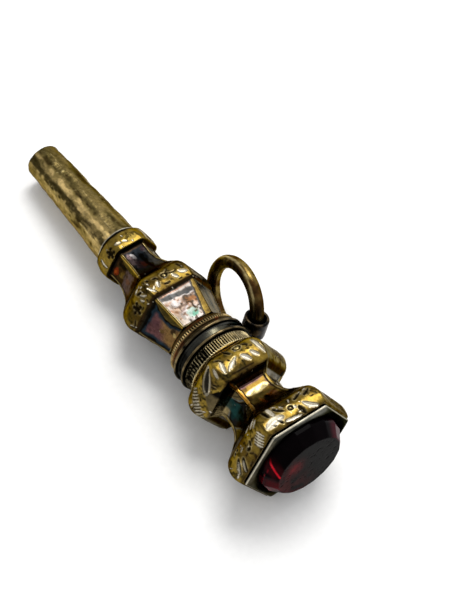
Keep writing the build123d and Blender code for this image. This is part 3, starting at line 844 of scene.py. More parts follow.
def upper_shell():
    """Lantern with flat panels, shoulder moulding, neck, and the collar of the pipe."""
    outer, along, ends = outline((lantern_start, LANTERN_FOOT), [
        ((lantern_end, LANTERN_TOP),),
        ((lantern_end + 0.15, SHOULDER_FOOT),),
        ((lantern_end + 0.4 * SHOULDER_LENGTH, SHOULDER_MIDDLE), (shoulder_end, SHOULDER_BACK)),
        ((neck_start, NECK_TOP),),
        ((neck_start + 0.5 * NECK_LENGTH, NECK_MIDDLE), (neck_end, NECK_MIDDLE)),
        ((neck_end + 0.22, COLLAR_FLAT - 0.08),),
        ((neck_end + 0.45 * COLLAR_LENGTH, COLLAR_FLAT), (collar_end, COLLAR_FLAT - 0.05)),
    ], SHELL_PITCH)
    _, step, shoulder, slope, neck, foot, collar, end = ends
    corner = np.interp(
        along,
        [0, step - 0.3, shoulder + 0.2, slope, neck, foot, collar, (collar + end) / 2, end],
        [0.08, 0.08, 0.36, 0.42, 0.16, 0.16, 1.0, 1.4, 2.7],
    )
    mouth = PIPE_FOOT + GAP
    points, run, across, from_edge, side, top, left, right = shell_grid(outer, along, corner, [
        (collar_end, mouth + 0.1, mouth + 0.1),
        (collar_end - 0.1, mouth, mouth),
        (pipe_start - GAP, mouth, mouth),
        (pipe_start - GAP, SPINDLE_HOLE, SPINDLE_HOLE),
        (lantern_start, SPINDLE_HOLE, SPINDLE_HOLE),
    ], HEX * UPPER_COLUMNS)
    depth, painted_highlight, stain, rim = engrave(run, across, side, [
        placed(step, SHOULDER_TOP_CUTS) + placed(foot, COLLAR_TOP_CUTS),
        placed(step, SHOULDER_LEFT_CUTS) + placed(foot, COLLAR_LEFT_CUTS),
        placed(step, SHOULDER_RIGHT_CUTS) + placed(foot, COLLAR_RIGHT_CUTS),
    ], placed(step, [SHOULDER_PUNCH]))
    ragged = lumps(points, 0.42, 12)
    cloud = lumps(points, 0.9, 17)
    share = np.clip(run / step, 0, 1)
    lens = np.sin(pi * share) + 0.75 * np.sin(pi * np.clip((run - neck) / (foot - neck), 0, 1))
    body = np.where(left, 0.16 + 0.66 * lens, np.where(top & (run < step), 0.75 - 0.33 * share, 0.16))
    rib_half = np.where(across < 0, body, 0.16)
    past_rib = from_edge - rib_half + 0.05 * ragged
    in_lantern = smooth_step(0.0, 0.10, past_rib) * between(run, 0.15, step - 0.12, 0.06)
    neck_run = between(run, slope + 0.5, foot + 0.05, 0.15)
    in_neck = neck_run * smooth_step(0.0, 0.10, past_rib)
    sunk = np.maximum(in_lantern, in_neck)
    ribs = np.maximum(between(run, 0.0, step, 0.05), neck_run)
    groove = ribs * (1 - smooth_step(0.02, 0.07, from_edge))
    wear = 0.020 * lumps(points, 0.9, 13) + 0.014 * lumps(points, 0.38, 14) - 0.034
    height = (wear - depth - 0.09 * sunk - 0.05 * groove) * (run >= 0)
    points = raised(points, height)

    gold = worn_gold(points, height, 15)
    gold = gold * np.where(run < neck, 0.60, 0.82)[..., None]
    by_rib = left * (across < 0) * ribs
    right_rib = top * (across < 0) * (run < step)
    bright_edge = by_rib * between(from_edge, 0.03, 0.20, 0.03)
    gold = layered(gold, [
        (OLIVE, right * 0.5),
        (OLIVE, 0.85 * by_rib * smooth_step(0.16, 0.28, from_edge + 0.1 * ragged)),
        (tint("3E3018"), right_rib * (0.65 + 0.25 * ragged)),
        (tint("B4943E"), 0.8 * bright_edge),
        (GOLD * 0.8, 0.6 * between(run, collar - 0.2, end, 0.1)),
    ])
    gold = patches_over(gold, run - foot, across, ragged, [COLLAR_STAIN + (0.75 * top,)])
    pearl = blend_in(coat(points, PEARL), tint("C8A468"), 0.30 + 0.30 * smooth_step(-0.3, 0.5, cloud))
    pearl = patches_over(pearl, run, across, ragged, LANTERN_TOP_STAINS)
    speck = lumps(points, 0.2, 19)
    from_top = step - run + 0.12 * ragged
    pearl = layered(pearl, [
        (COPPER, 0.65 * smooth_step(0.12, 0.55, 0.7 * speck + 0.6 * ragged)),
        (UMBER, 0.9 * smooth_step(0.36, 0.58, speck + 0.25 * cloud - 0.15 * across)),
        (ROSE, 0.8 * between(from_top, 0.16, 0.34, 0.04)),
        (PEARL, 0.9 * between(from_top, 0.36, 0.46, 0.03)),
        (tint("2C3C48"), 0.9 * between(from_top + 0.12 * across, 0.50, 1.05, 0.08)),
        (PEARL, 0.8 * between(from_top + 0.12 * across, 1.06, 1.18, 0.04)),
        (PEARL, 0.9 * between(past_rib, 0.02, 0.13, 0.03)),
    ])
    inward = np.minimum(past_rib, 0.8 * (step - run - 0.1)) + 0.16 * ragged + 0.10 * cloud
    dusky = blend_in(coat(points, tint("6C5230")), tint("543838"), smooth_step(1.3, 2.6, run + 0.6 * across))
    dusky = 1.2 * patches_over(dusky, run, across, ragged, LANTERN_LEFT_STAINS)
    dusky = blend_in(dusky, tint("1C2830"), 1 - smooth_step(0.38, 0.70, inward))
    dusky = blend_in(dusky, BLACK, 1 - smooth_step(0.18, 0.32, inward))
    steel = blend_in(coat(points, GREY), BLUE_GREY, smooth_step(-0.3, 0.5, cloud))
    lantern_paint = by_side(top, left, pearl * PEARL_SHADE, dusky, steel)
    start = run - neck
    neck_top = patches_over(coat(points, SLATE), start, across, ragged, NECK_TOP_STAINS_AND_HIGHLIGHT)
    neck_left = patches_over(coat(points, UMBER), start, across, ragged, NECK_LEFT_STAINS)
    neck_top = blend_in(neck_top, BLACK, 0.8 * smooth_step(0.25, 0.6, speck + 0.3 * ragged))
    neck_left = blend_in(neck_left, BLACK, 0.7 * smooth_step(0.25, 0.6, speck + 0.4 * ragged))
    neck_paint = by_side(top, left, neck_top * NECK_SHADE, neck_left, steel)
    paint = blend_in(gold, lantern_paint, in_lantern)
    rib_line = ribs * between(past_rib, -0.02, 0.10, 0.04) * (1 - top * (run < step))
    paint = layered(paint, [
        (neck_paint, in_neck),
        (UMBER, 0.9 * rib_line),
        (UMBER, 0.8 * groove),
        (BLACK, 0.97 * between(run, step - 0.16, shoulder + 0.10, 0.06)),
    ])
    paint = dark_borders(paint, run, (shoulder, slope, foot, end), 0.28, ragged)
    behind = between(run, slope + 0.05, neck + 0.15, 0.12) * smooth_step(0.06, 0.2, from_edge)
    paint = blend_in(paint, BLACK, 0.95 * behind * smooth_step(-0.5, 0.0, ragged + 0.2))
    paint = blend_in(paint, BLACK, 0.96 * between(run, foot - 0.08, collar - 0.12, 0.06))
    paint = cut_colours(paint, painted_highlight, stain, rim)
    paint = blend_in(paint, BLACK, smooth_step(end - 0.14, end - 0.06, run) + (run < 0.06))
    rough = 0.25 + 0.10 * lumps(points, 0.6, 18) + 0.06 * painted_highlight + 0.15 * stain - 0.05 * in_neck
    rough = rough - 0.07 * between(run, collar - 0.2, end, 0.1)
    piece = make_mesh("lantern_and_neck", points)
    return add_paint(piece, paint, rough, 1 - 0.5 * painted_highlight - 0.5 * in_lantern * top)


def pipe():
    """Hammered and worn tapering pipe with a square socket in its tip."""
    columns = 4 * PIPE_COLUMNS
    knee = collar_end + 0.3 * PIPE_LENGTH
    outer, along, _ = outline((pipe_start, PIPE_FOOT), [
        ((collar_end, PIPE_FOOT),),
        ((knee, PIPE_WAIST),),
        ((pipe_tip - 0.06, PIPE_TIP_RADIUS),),
        ((pipe_tip, PIPE_TIP_RADIUS - 0.07),),
    ], PIPE_PITCH)
    rows = [(x, r, r) for x, r in outer]
    inside = [
        (pipe_tip, SOCKET_MOUTH, 0.9),
        (pipe_tip - 0.15, SOCKET_HALF, 0.12),
        (pipe_tip - SOCKET_DEPTH, SOCKET_HALF, 0.12),
        (pipe_tip - SOCKET_DEPTH, 0.02, 0.02),
        (pipe_start + SPINDLE_SEAT, 0.02, 0.02),
        (pipe_start + SPINDLE_SEAT, SPINDLE_HOLE, SPINDLE_HOLE),
        (pipe_start, SPINDLE_HOLE, SPINDLE_HOLE),
    ]
    points = rings(rows + inside, columns, 4)[0]
    outside = np.array([1.0] * len(rows) + [0.0] * len(inside))[:, None]
    stretched = points * np.array([0.5, 1, 1])
    dents = -np.abs(lumps(stretched, 0.75, 21)) * 0.085 - np.abs(lumps(points, 0.35, 22)) * 0.03
    dents = dents - 0.08 * np.clip(lumps(points, 2.6, 23), 0, 1)
    height = dents * outside
    points = raised(points, height)
    angle = facing(points)
    streak = lumps(points * np.array([0.22, 1, 1]), 0.55, 24)
    fine = lumps(points * np.array([0.45, 1, 1]), 0.22, 25)
    wave = 0.10 * lumps(points, 3.2, 27) + 0.05 * fine
    paint = blend_in(coat(points, BRASS), tint("8C7A48"), smooth_step(-0.5, 0.5, streak + 0.5 * fine))
    shaded = smooth_step(-0.36, -0.10, wave - angle) * (1 - smooth_step(2.2, 2.8, -angle))
    seam = bell(angle - 0.82 - wave, 0.22)
    # painted highlight: a bright streak along the pipe
    bright = bell(angle - 0.48 - wave, 0.24)
    broken = 0.55 * lumps(points * np.array([0.7, 1, 1]), 0.6, 28) + 0.40 * fine
    x = points[..., 0]
    paint = layered(paint, [
        (tint("3E371E"), shaded * (0.78 + 0.3 * streak)),
        (tint("2E2814"), smooth_step(0.25, 0.85, seam + 0.5 * fine + 0.3 * streak) * 0.85),
        (UMBER, smooth_step(0.35, 0.9, 0.8 * streak + 0.7 * fine) * 0.7),
        # painted highlight streak
        (tint("EACB88"), smooth_step(0.50, 0.85, bright * (0.85 + broken)) * 0.9),
        (UMBER, smooth_step(0.008, 0.03, cavity(height, 6)) * 0.8),
        (PALE_GOLD, smooth_step(0.006, 0.025, -cavity(height, 6)) * 0.6),
        (BLACK, smooth_step(pipe_tip - 0.12, pipe_tip - 0.02, x) * 0.9),
        (OLIVE, smooth_step(pipe_tip - 4.0, pipe_tip - 0.5, x) * 0.45),
        # painted shadow in the gap where the pipe goes into the collar
        (BLACK, between(x, collar_end - 0.3, collar_end + 0.44, 0.03)),
        (SILVER * 0.6, between(x, collar_end + 0.47, collar_end + 0.54, 0.02)),
    ])
    return add_paint(make_mesh("winding_pipe", points), paint, 0.32 + 0.12 * fine + 0.1 * streak)


def reeded(profile, groove, low, high, cut, dark, light):
    """Turned band whose grooves, from 0 to 1 round the circle, lie between two stations."""
    columns = len(groove)
    points = round_rows(profile, columns)
    x = points[..., 0]
    radius = distance_out(points)
    inside = between(x, low, high, 0.04) * (radius > 3.2)
    uneven = 1 + 0.35 * lumps(points, 0.8, 31)
    scale = 1 - cut * groove * inside * uneven / np.maximum(radius, 0.1)
    points[..., 1] *= scale
    points[..., 2] *= scale
    paint = blend_in(coat(points, light), UMBER, smooth_step(0.0, 0.7, lumps(points, 1.2, 32)) * 0.6)
    paint = blend_in(paint, UMBER, smooth_step(0.1, 0.5, lumps(points, 0.3, 33)) * 0.5 * inside)
    # grooves painted dark: painted shade in the grooves
    paint = blend_in(paint, dark, inside * smooth_step(0.35, 0.65, groove) * 0.97)
    return points, paint


def milled_band():
    """Fine grooves, with a coarser and darker stretch on the left side."""
    columns = HEX * MILLED_COLUMNS
    turn = circle(columns) - pi / HEX
    coarse = between(turn, *COARSE_STRETCH, 0.01)
    fine_grooves = 0.5 - 0.5 * np.cos(turn * FINE_TEETH)
    coarse_grooves = 0.5 - 0.5 * np.cos(turn * COARSE_TEETH)
    groove = fine_grooves * (1 - coarse) + coarse_grooves * coarse
    r = MILLED_RADIUS
    stations = np.linspace(milled_start + 0.16, milled_end - 0.16, 14)
    profile = [(milled_start, SPINDLE_HOLE), (milled_start, r - 0.10), (milled_start + 0.06, r - 0.02)]
    profile += [(x, r) for x in stations]
    profile += [(milled_end - 0.08, r - 0.05), (milled_end, r - 0.12), (milled_end, SPINDLE_HOLE)]
    points, paint = reeded(
        profile, groove, milled_start + 0.16, milled_end - 0.10, 0.20, BLACK, tint("C8B88C"))
    band = between(points[..., 0], milled_start + 0.14, milled_end - 0.08, 0.04)
    worn = lumps(points, 0.22, 34)
    paint = blend_in(paint, BLACK, coarse * band * (0.80 + 0.20 * smooth_step(-0.2, 0.2, worn)))
    paint = blend_in(paint, BLACK, between(points[..., 0], milled_end - 0.14, milled_end + 0.1, 0.03) * 0.8)
    return add_paint(make_mesh("reeded_band", points), paint, 0.30)


def bead_band():
    """Dark groove and a finely milled ring that stands out of it."""
    columns = HEX * BEAD_COLUMNS
    turn = circle(columns)
    groove = 0.5 - 0.5 * np.cos(turn * BEAD_TEETH)
    r = BEAD_RADIUS
    profile = [
        (milled_end + GAP, SPINDLE_HOLE), (milled_end + GAP, HUB_RADIUS), (bead_start, HUB_RADIUS),
        (bead_start, BEAD_GROOVE), (bead_start + 0.30, BEAD_GROOVE), (bead_start + 0.38, r - 0.10),
        (bead_start + 0.46, r - 0.02), (bead_start + 0.56, r), (bead_start + 0.66, r), (bead_start + 0.76, r),
        (bead_start + 0.86, r - 0.04), (bead_start + 0.92, r - 0.12), (bead_start + 0.97, BEAD_GROOVE),
        (bead_start + 1.25, BEAD_FOOT + 0.14), (bead_end, BEAD_FOOT), (bead_end, SPINDLE_HOLE),
    ]
    points, paint = reeded(
        profile, groove, bead_start + 0.56, bead_start + 0.90, 0.16, BLACK, tint("C8AE78"))
    x = points[..., 0]
    low = 1 - between(x, bead_start + 0.54, bead_start + 0.90, 0.04)
    paint = layered(paint, [
        (UMBER, low * 0.85),
        (RUST, low * smooth_step(0.0, 0.5, lumps(points, 0.7, 35)) * 0.35),
        (BLACK, smooth_step(bead_end - 0.10, bead_end - 0.02, x)),
    ])
    return add_paint(make_mesh("beaded_band", points), paint, 0.34)


# The eyelet's hole: its middle, the line of the ring's hinge, and the way to the ring's middle
swivel_middle = (swivel_start + swivel_end) / 2
hinge_point = np.array([
    swivel_middle + EYELET_OFFSET, -EYELET_REACH * cos(COLLAR_TURN), EYELET_REACH * sin(COLLAR_TURN),
])
hinge_line = np.array([0, -sin(RING_LEAN), cos(RING_LEAN)])
away = np.array([0, -cos(RING_LEAN), -sin(RING_LEAN)])
ring_way = np.array([1, 0, 0]) * cos(RING_OPEN) + away * sin(RING_OPEN)


def swivel_band():
    """Channel between two half round lips, with a painted highlight in the channel."""
    half = LIP_WIDTH / 2
    foot = LIP_RADIUS - half
    low = swivel_start + LIP_WIDTH
    high = swivel_end - LIP_WIDTH
    bore = HUB_RADIUS + HUB_PLAY
    profile, _, _ = outline((swivel_start, bore), [
        ((swivel_start, foot),),
        ((swivel_start + half, LIP_RADIUS), (low, foot)),
        ((low, CHANNEL_RADIUS + 0.10),),
        ((low + 0.12, CHANNEL_RADIUS + 0.01), (low + 0.22, CHANNEL_RADIUS)),
        ((high - 0.12, CHANNEL_RADIUS),),
        ((high, CHANNEL_RADIUS + 0.08),),
        ((high, foot),),
        ((high + half, LIP_RADIUS), (swivel_end, foot)),
        ((swivel_end, bore),),
    ], SWIVEL_PITCH)
    points = round_rows(profile, HEX * SWIVEL_COLUMNS)
    radius = distance_out(points)
    wear = 0.014 * (lumps(points, 0.9, 41) - 1) * (radius > 3.0)
    points = raised(points, wear)
    cloud = lumps(points, 0.9, 42)
    paint = blend_in(coat(points, tint("5C5C56")), BLACK, 0.9 * smooth_step(-0.5, 0.3, cloud))
    on_lip = smooth_step(LIP_RADIUS - 0.09, LIP_RADIUS - 0.04, radius)
    edges = smooth_step(foot - 0.2, foot - 0.05, radius)
    angle = facing(points)
    in_channel = between(points[..., 0], low + 0.12, high - 0.20, 0.1)
    # painted highlight along the channel
    painted_gleam = bell(angle - SWIVEL_HIGHLIGHT, 0.22) * in_channel
    paint = blend_in(paint * 0.42, tint("6E6A56"), painted_gleam * (0.75 + 0.4 * lumps(points, 0.4, 45)))
    # painted shade in the channel beside the lug
    root = bell(angle + 1.02, 0.16) * (1 - edges)
    paint = layered(paint, [
        (BLACK, edges * 0.9),
        (tint("94805A"), on_lip * (0.45 + 0.5 * lumps(points, 0.5, 44))),
        (TEAL * 0.4, root),
    ])
    return add_paint(make_mesh("swivel_band", points), paint, 0.20 + 0.08 * lumps(points, 0.5, 43))


def eyelet():
    """Dark barrel with the ring's hole, and the lug and foot that join it to the band."""
    throat = RING_WIRE + EYELET_PLAY
    mouth = throat + RING_RADIUS - sqrt(RING_RADIUS ** 2 - EYELET_HALF ** 2)
    small = EYELET_RADIUS - 0.12
    corner = EYELET_HALF - 0.12
    profile, _, _ = outline((mouth, -EYELET_HALF), [
        ((small, -EYELET_HALF),),
        ((EYELET_RADIUS - 0.035, -EYELET_HALF + 0.035), (EYELET_RADIUS, -corner)),
        ((EYELET_RADIUS, corner),),
        ((EYELET_RADIUS - 0.035, EYELET_HALF - 0.035), (small, EYELET_HALF)),
        ((mouth, EYELET_HALF),),
        ((throat, 0), (mouth, -EYELET_HALF)),
    ], EYELET_PITCH)
    turn = circle(EYELET_COLUMNS)
    across = np.cross(hinge_line, [1, 0, 0])
    spokes = np.cos(turn)[:, None] * np.array([1, 0, 0]) + np.sin(turn)[:, None] * across
    points = np.array([hinge_point + h * hinge_line + r * spokes for r, h in profile[:-1]])
    barrel = make_mesh("eyelet", points)
    radial = hinge_point * np.array([0, 1, 1])
    radial = radial / np.linalg.norm(radial)
    sideways = np.cross(radial, [1, 0, 0])
    centre = np.array([swivel_middle, 0, 0])
    lug = np.array([
        centre + radial * reach + np.cos(turn)[:, None] * np.array([size, 0, 0])
        + np.sin(turn)[:, None] * sideways * wide
        for reach, size, wide in (
            (3.35, 0.43, 1.30), (3.80, 0.43, 1.30), (3.95, 0.41, 1.10), (4.10, 0.43, 0.85),
            (4.30, 0.50, 0.72), (4.50, 0.55, 0.75), (EYELET_REACH - throat, 0.58, 0.80),
        )
    ])
    post = make_mesh("lug", lug, closed_rows=False, ends=True)
    fused = barrel.modifiers.new("fuse", "BOOLEAN")
    fused.operation = "UNION"
    fused.object = post
    fused.solver = "EXACT"
    round_off = barrel.modifiers.new("round", "REMESH")
    round_off.mode = "VOXEL"
    round_off.voxel_size = EYELET_VOXEL * MM
    soften = barrel.modifiers.new("soften", "SMOOTH")
    soften.factor = 0.5
    soften.iterations = 4
    bpy.context.view_layer.update()
    shown = barrel.evaluated_get(bpy.context.evaluated_depsgraph_get())
    solid = bpy.data.meshes.new_from_object(shown)
    solid.name = "eyelet"
    barrel.modifiers.clear()
    barrel.data = solid
    solid.polygons.foreach_set("use_smooth", [True] * len(solid.polygons))
    bpy.data.objects.remove(post)
    return barrel


def ring():
    """Worn wire ring with a painted highlight streak and painted shade beside it, a little thinner where it
    is furthest from the eyelet.
    """
    middle = hinge_point + ring_way * RING_RADIUS
    face = np.cross(ring_way, hinge_line)
    turn = circle(RING_AROUND)
    spin = circle(WIRE_AROUND)
    out = -ring_way * np.cos(turn)[:, None] + hinge_line * np.sin(turn)[:, None]
    thick = RING_WIRE * (0.965 + 0.03 * np.cos(turn))
    points = middle + out[:, None, :] * (RING_RADIUS + thick[:, None] * np.cos(spin))[..., None]
    points = points + face * (thick[:, None] * np.sin(spin))[..., None]
    normal = (points - (middle + out * RING_RADIUS)[:, None, :]) / thick[:, None, None]
    points = points + normal * (0.016 * (lumps(points, 0.8, 51) - 1))[..., None]
    round_wire = np.stack([np.sin(turn)[:, None] + 0 * spin, np.cos(turn)[:, None] + 0 * spin,
                           0.22 * np.cos(spin) + 0 * turn[:, None]], -1) * 3.0
    streak = lumps(round_wire + 0.22 * np.sin(spin)[None, :, None], 0.28, 54)
    cloud = lumps(points, 0.9, 52)
    paint = blend_in(coat(points, tint("766436")), tint("452F16"), smooth_step(-0.3, 0.5, cloud))
    # painted highlight streak along the wire, with painted shade beside it
    drift = spin[None, :] - RING_HIGHLIGHT - 0.4 * np.sin(turn - 0.9)[:, None]
    worn = bell(drift, 0.20)
    near = smooth_step(0.62, 0.95, np.cos(turn))[:, None] + 0 * points[..., 0]
    paint = layered(paint, [
        (UMBER, smooth_step(0.0, 0.5, streak + 0.4 * lumps(points, 0.35, 55)) * 0.9),
        # painted highlight, then painted shade beside it
        (PALE_GOLD, 0.8 * smooth_step(0.45, 0.9, worn + 0.35 * lumps(points, 0.5, 56))),
        (BLACK, 0.6 * bell(drift + 0.62, 0.25)),
        (BLACK, 0.7 * near),
    ])
    piece = make_mesh("hanging_ring", points[:, ::-1])
    return add_paint(piece, paint[:, ::-1], (0.26 + 0.06 * lumps(points, 0.6, 53))[:, ::-1])


def bezel():
    """Silver grey hexagonal rim that rises to a rounded opening, with its skirt."""
    columns = HEX * BEZEL_COLUMNS
    bore = GIRDLE_RADIUS + GAP
    rise = BEZEL_CROWN
    lip_inside = BEZEL_OPENING - 0.08
    rows = [
        (BEZEL_DEPTH, SKIRT_FLAT, 0.15),
        (BEZEL_RIM, SKIRT_FLAT, 0.15),
        (BEZEL_RIM, BEZEL_FLAT - 0.02, 0.14),
        (0.12, BEZEL_FLAT, 0.14),
        (0.02, BEZEL_FLAT - 0.01, 0.14),
        (-0.01, BEZEL_FLAT - 0.05, 0.15),
        (-0.30 * rise, BEZEL_FLAT - 0.12, 0.22),
        (-0.62 * rise, BEZEL_FLAT - 0.22, 0.50),
        (-0.86 * rise, BEZEL_FLAT - 0.32, 1.10),
        (-0.98 * rise, lip_inside + 0.22, 3.20),
        (-0.90 * rise, lip_inside + 0.06, 4.00),
        (-0.72 * rise, lip_inside, 4.20),
        (0.0, lip_inside + 0.05, 4.25),
        (0.22, lip_inside + 0.15, 4.30),
        (0.32, BEZEL_OPENING + 0.01, 4.35),
        (GIRDLE_START + GIRDLE_WIDTH + GAP, bore, bore),
        (BEZEL_DEPTH, bore - 1.04, bore),
    ]
    points = rings(rows, columns)[0]
    face = np.array([1.0 if x < 0.0 else 0.0 for x, _, _ in rows])[:, None]
    points = raised(points, 0.015 * (lumps(points, 0.7, 61) - 1) * face)
    x = points[..., 0]
    cloud = lumps(points, 0.9, 62)
    paint = blend_in(coat(points, tint("66665E")), tint("3A3A34"), smooth_step(-0.5, 0.5, cloud))
    angle = facing(points)
    low = between(angle, radians(40), radians(170), 0.2)
    reach = distance_out(points)
    right = between(angle, radians(-150), radians(-32), 0.1)
    shaded = lip_inside + 0.62 + 0.50 * np.maximum(right, 0.4 * low)
    edge = between(x, -0.05, 0.04, 0.02) * (np.array([r[1] for r in rows])[:, None] > BEZEL_FLAT - 0.1)
    paint = layered(paint, [
        (tint("4A4436"), low * (0.75 + 0.25 * lumps(points, 0.7, 65))),
        (tint("5C5644"), smooth_step(0.1, 0.7, lumps(points, 0.6, 63)) * 0.5),
        # painted shade: dark tint on the right side, and the black towards the opening below
        (tint("1C1E1A"), right * 0.8),
        (BLACK, 0.95 * (1 - smooth_step(lip_inside + 0.30, shaded, reach))),
        # painted highlight along the outer edge
        (SILVER, edge * 0.6),
        # painted shade on the side wall
        (BLACK, smooth_step(0.03, 0.10, x) * 0.97),
    ])
    piece = make_mesh("stone_bezel", points[::-1])
    return add_paint(piece, paint[::-1], (0.30 + 0.1 * lumps(points, 0.8, 64))[::-1])


def cut_stone():
    """Dark red stone: pitted table, bevel facets with worn edges, girdle and pavilion."""
    columns = STONE_FACETS * STONE_COLUMNS
    shrink = cos(pi / STONE_FACETS)
    table = TABLE_RADIUS * shrink
    girdle = GIRDLE_RADIUS * shrink
    back = GIRDLE_START + GIRDLE_WIDTH
    rows = [
        (back + PAVILION_DEPTH, 0.02, 0.02),
        (back + PAVILION_DEPTH, PAVILION_END * shrink, 0.1),
        (back + 0.02, girdle - 0.01, 0.1),
        (GIRDLE_START + 0.02, girdle, 0.1),
        (GIRDLE_START, girdle - 0.01, 0.1),
    ]
    drop = GIRDLE_START + TABLE_HEIGHT
    step = girdle - BEVEL_STEP * (girdle - table)
    rows += [
        (GIRDLE_START - drop * t, np.interp(t, [0, 0.5, 1], [girdle, step, table]), 0.1 + 1.3 * t ** 3)
        for t in np.linspace(0.03, 0.965, STONE_STEPS // 2)
    ]
    rows += [
        (-TABLE_HEIGHT + 0.045, table + 0.012, 1.5),
        (-TABLE_HEIGHT + 0.015, table - 0.03, 1.6),
        (-TABLE_HEIGHT, table - 0.09, 1.6),
    ]
    rows += [(-TABLE_HEIGHT, r, min(r, 1.6)) for r in np.linspace(table - 0.15, 0.02, STONE_STEPS)]
    points = rings(rows, columns, STONE_FACETS)[0]
    on_table = (points[..., 0] < -TABLE_HEIGHT + 0.004) * 1.0
    pits = smooth_step(0.50, 0.62, lumps(points, 0.17, 71))
    points[..., 0] += on_table * (0.03 * pits + 0.004 * (1 + lumps(points, 1.2, 72)))
    y, z = points[..., 1], points[..., 2]
    low_left = smooth_step(-0.6, 3.6, 0.85 * y - 0.45 * z)
    cloud = lumps(points, 0.9, 73)
    angle = np.degrees(facing(points))
    share = (GIRDLE_START - points[..., 0]) / drop
    paint = coat(points, tint("040203"))
    # Painted light inside the stone: a red glow, a bright red flash with its branch and a pink glint on the
    # lower left bevels
    glow = between(angle, 52, 125, 12) * (1 - on_table)
    flash_line = np.abs(angle - 42 - 31 * share)
    flash = (1 - smooth_step(0.8, 2.6, flash_line)) * smooth_step(0.30, 0.55, share) * (1 - on_table)
    branch = 1 - smooth_step(1.0, 4.0, np.abs(angle - 62 - 200 * (0.56 - share)))
    pink = between(angle, 108, 146, 8) * between(share, 0.38, 0.62, 0.08)
    purple = between(angle, -92, -46, 8) * smooth_step(0.25, 0.6, share) * (1 - on_table)
    dull = blend_in(coat(points, tint("060504")), tint("34100F"), low_left * smooth_step(-0.45, 0.4, cloud))
    deep = np.exp(-((y - 1.9) ** 2 + (z - 1.0) ** 2) / 0.9) * (0.75 + 0.5 * lumps(points, 0.5, 74))
    dull = blend_in(dull, tint("6A1016"), deep * 0.75)
    rim = smooth_step(3.0, 3.6, distance_out(points)) * between(angle, 70, 181, 20)
    dull = blend_in(dull, tint("3C1416"), rim * 0.7)
    paint = layered(paint, [
        # painted light inside the stone, in these five layers
        (tint("30050A"), glow * smooth_step(-0.5, 0.5, cloud) * 0.8),
        (tint("D01828"), flash * smooth_step(0.25, 0.60, share)),
        (tint("70101A"), branch * between(share, 0.38, 0.55, 0.04) * (1 - on_table)),
        (tint("6A2A34"), pink * 0.8),
        (tint("5A0A12"), between(angle, 86, 112, 8) * smooth_step(0.45, 0.8, share) * 0.5),
        (tint("3A151C"), purple * 0.9),
        (dull, on_table),
        (BLACK, on_table * pits),
    ])
    piece = make_mesh("cut_stone", points, closed_rows=False, ends=True)
    return add_paint(piece, paint, 0.04 + 0.24 * on_table, 0.0)


def node_tools(owner):
    """For a material or a world: a function that sets a node's inputs, one that adds a node
    and gives an output of it, and one that adds a ramp of colours."""
    owner.use_nodes = True
    tree = owner.node_tree

    def feed(node, inputs):
        for key, value in inputs.items():
            if isinstance(value, bpy.types.NodeSocket):
                tree.links.new(value, node.inputs[key])
            else:
                node.inputs[key].default_value = value

    def add(kind, output, inputs=None, **settings):
        node = tree.nodes.new(kind)
        for key, value in settings.items():
            setattr(node, key, value)
        feed(node, inputs or {})
        return node.outputs[output]

    def ramp(value, stops):
        node = tree.nodes.new("ShaderNodeValToRGB")
        feed(node, {"Fac": value})
        elements = node.color_ramp.elements
        for position, _ in stops[1:-1]:
            elements.new(position)
        for element, (position, colour) in zip(elements, stops):
            element.position = position
            element.color = (*colour, 1)
        return node.outputs["Color"]

    return feed, add, ramp


def new_material(name):
    """New material with its shader, its node functions and the place on its object."""
    material = bpy.data.materials.new(name)
    feed, add, ramp = node_tools(material)
    place = add("ShaderNodeTexCoord", "Object")
    return material, material.node_tree.nodes["Principled BSDF"], feed, add, ramp, place


def mottled(add, spots, darkest):
    """The piece's paint, broken up by spots."""
    paint = add("ShaderNodeAttribute", "Color", attribute_name="paint")
    dim = add("ShaderNodeMapRange", "Result", {
        "Value": spots, "From Min": 0.35, "From Max": 0.65, "To Min": darkest, "To Max": 1.1,
    })
    return add("ShaderNodeVectorMath", "Vector", {0: paint, "Scale": dim}, operation="SCALE")


def worn_metal(name, grain=0.12, mottle=0.35, scratch=0.25, edge=(0.55, 0.48, 0.36)):
    """Metal whose colour, roughness and metallic share come from the piece's paint, broken
    up by fine mottling, scratches and pits."""
    material, shader, feed, add, _, place = new_material(name)
    rough = add("ShaderNodeAttribute", "Fac", attribute_name="rough")
    metal = add("ShaderNodeAttribute", "Fac", attribute_name="metal")
    spots = add("ShaderNodeTexNoise", "Fac", {
        "Vector": place, "Scale": 2600.0, "Detail": 6.0, "Roughness": 0.65,
    })
    cloud = add("ShaderNodeTexNoise", "Fac", {
        "Vector": place, "Scale": 900.0, "Detail": 4.0, "Roughness": 0.6,
    })
    vary = add("ShaderNodeMapRange", "Result", {
        "Value": cloud, "From Min": 0.3, "From Max": 0.7, "To Min": -0.08, "To Max": 0.12,
    })
    total = add("ShaderNodeMath", "Value", {0: rough, 1: vary}, operation="ADD", use_clamp=True)
    stretch = add("ShaderNodeMapping", "Vector", {"Vector": place, "Scale": (900.0, 5200.0, 5200.0)})
    lines = add("ShaderNodeTexNoise", "Fac", {"Vector": stretch, "Scale": 1.0, "Detail": 3.0})
    height = add("ShaderNodeMath", "Value", {0: lines, 1: scratch}, operation="MULTIPLY")
    both = add("ShaderNodeMath", "Value", {0: spots, 1: grain, 2: height}, operation="MULTIPLY_ADD")
    feed(shader, {
        "Base Color": mottled(add, spots, 1.0 - mottle), "Roughness": total, "Metallic": metal,
        "Specular Tint": (*edge, 1.0),
        "Normal": add("ShaderNodeBump", "Normal", {"Height": both, "Strength": 0.35, "Distance": 0.00008}),
    })
    return material


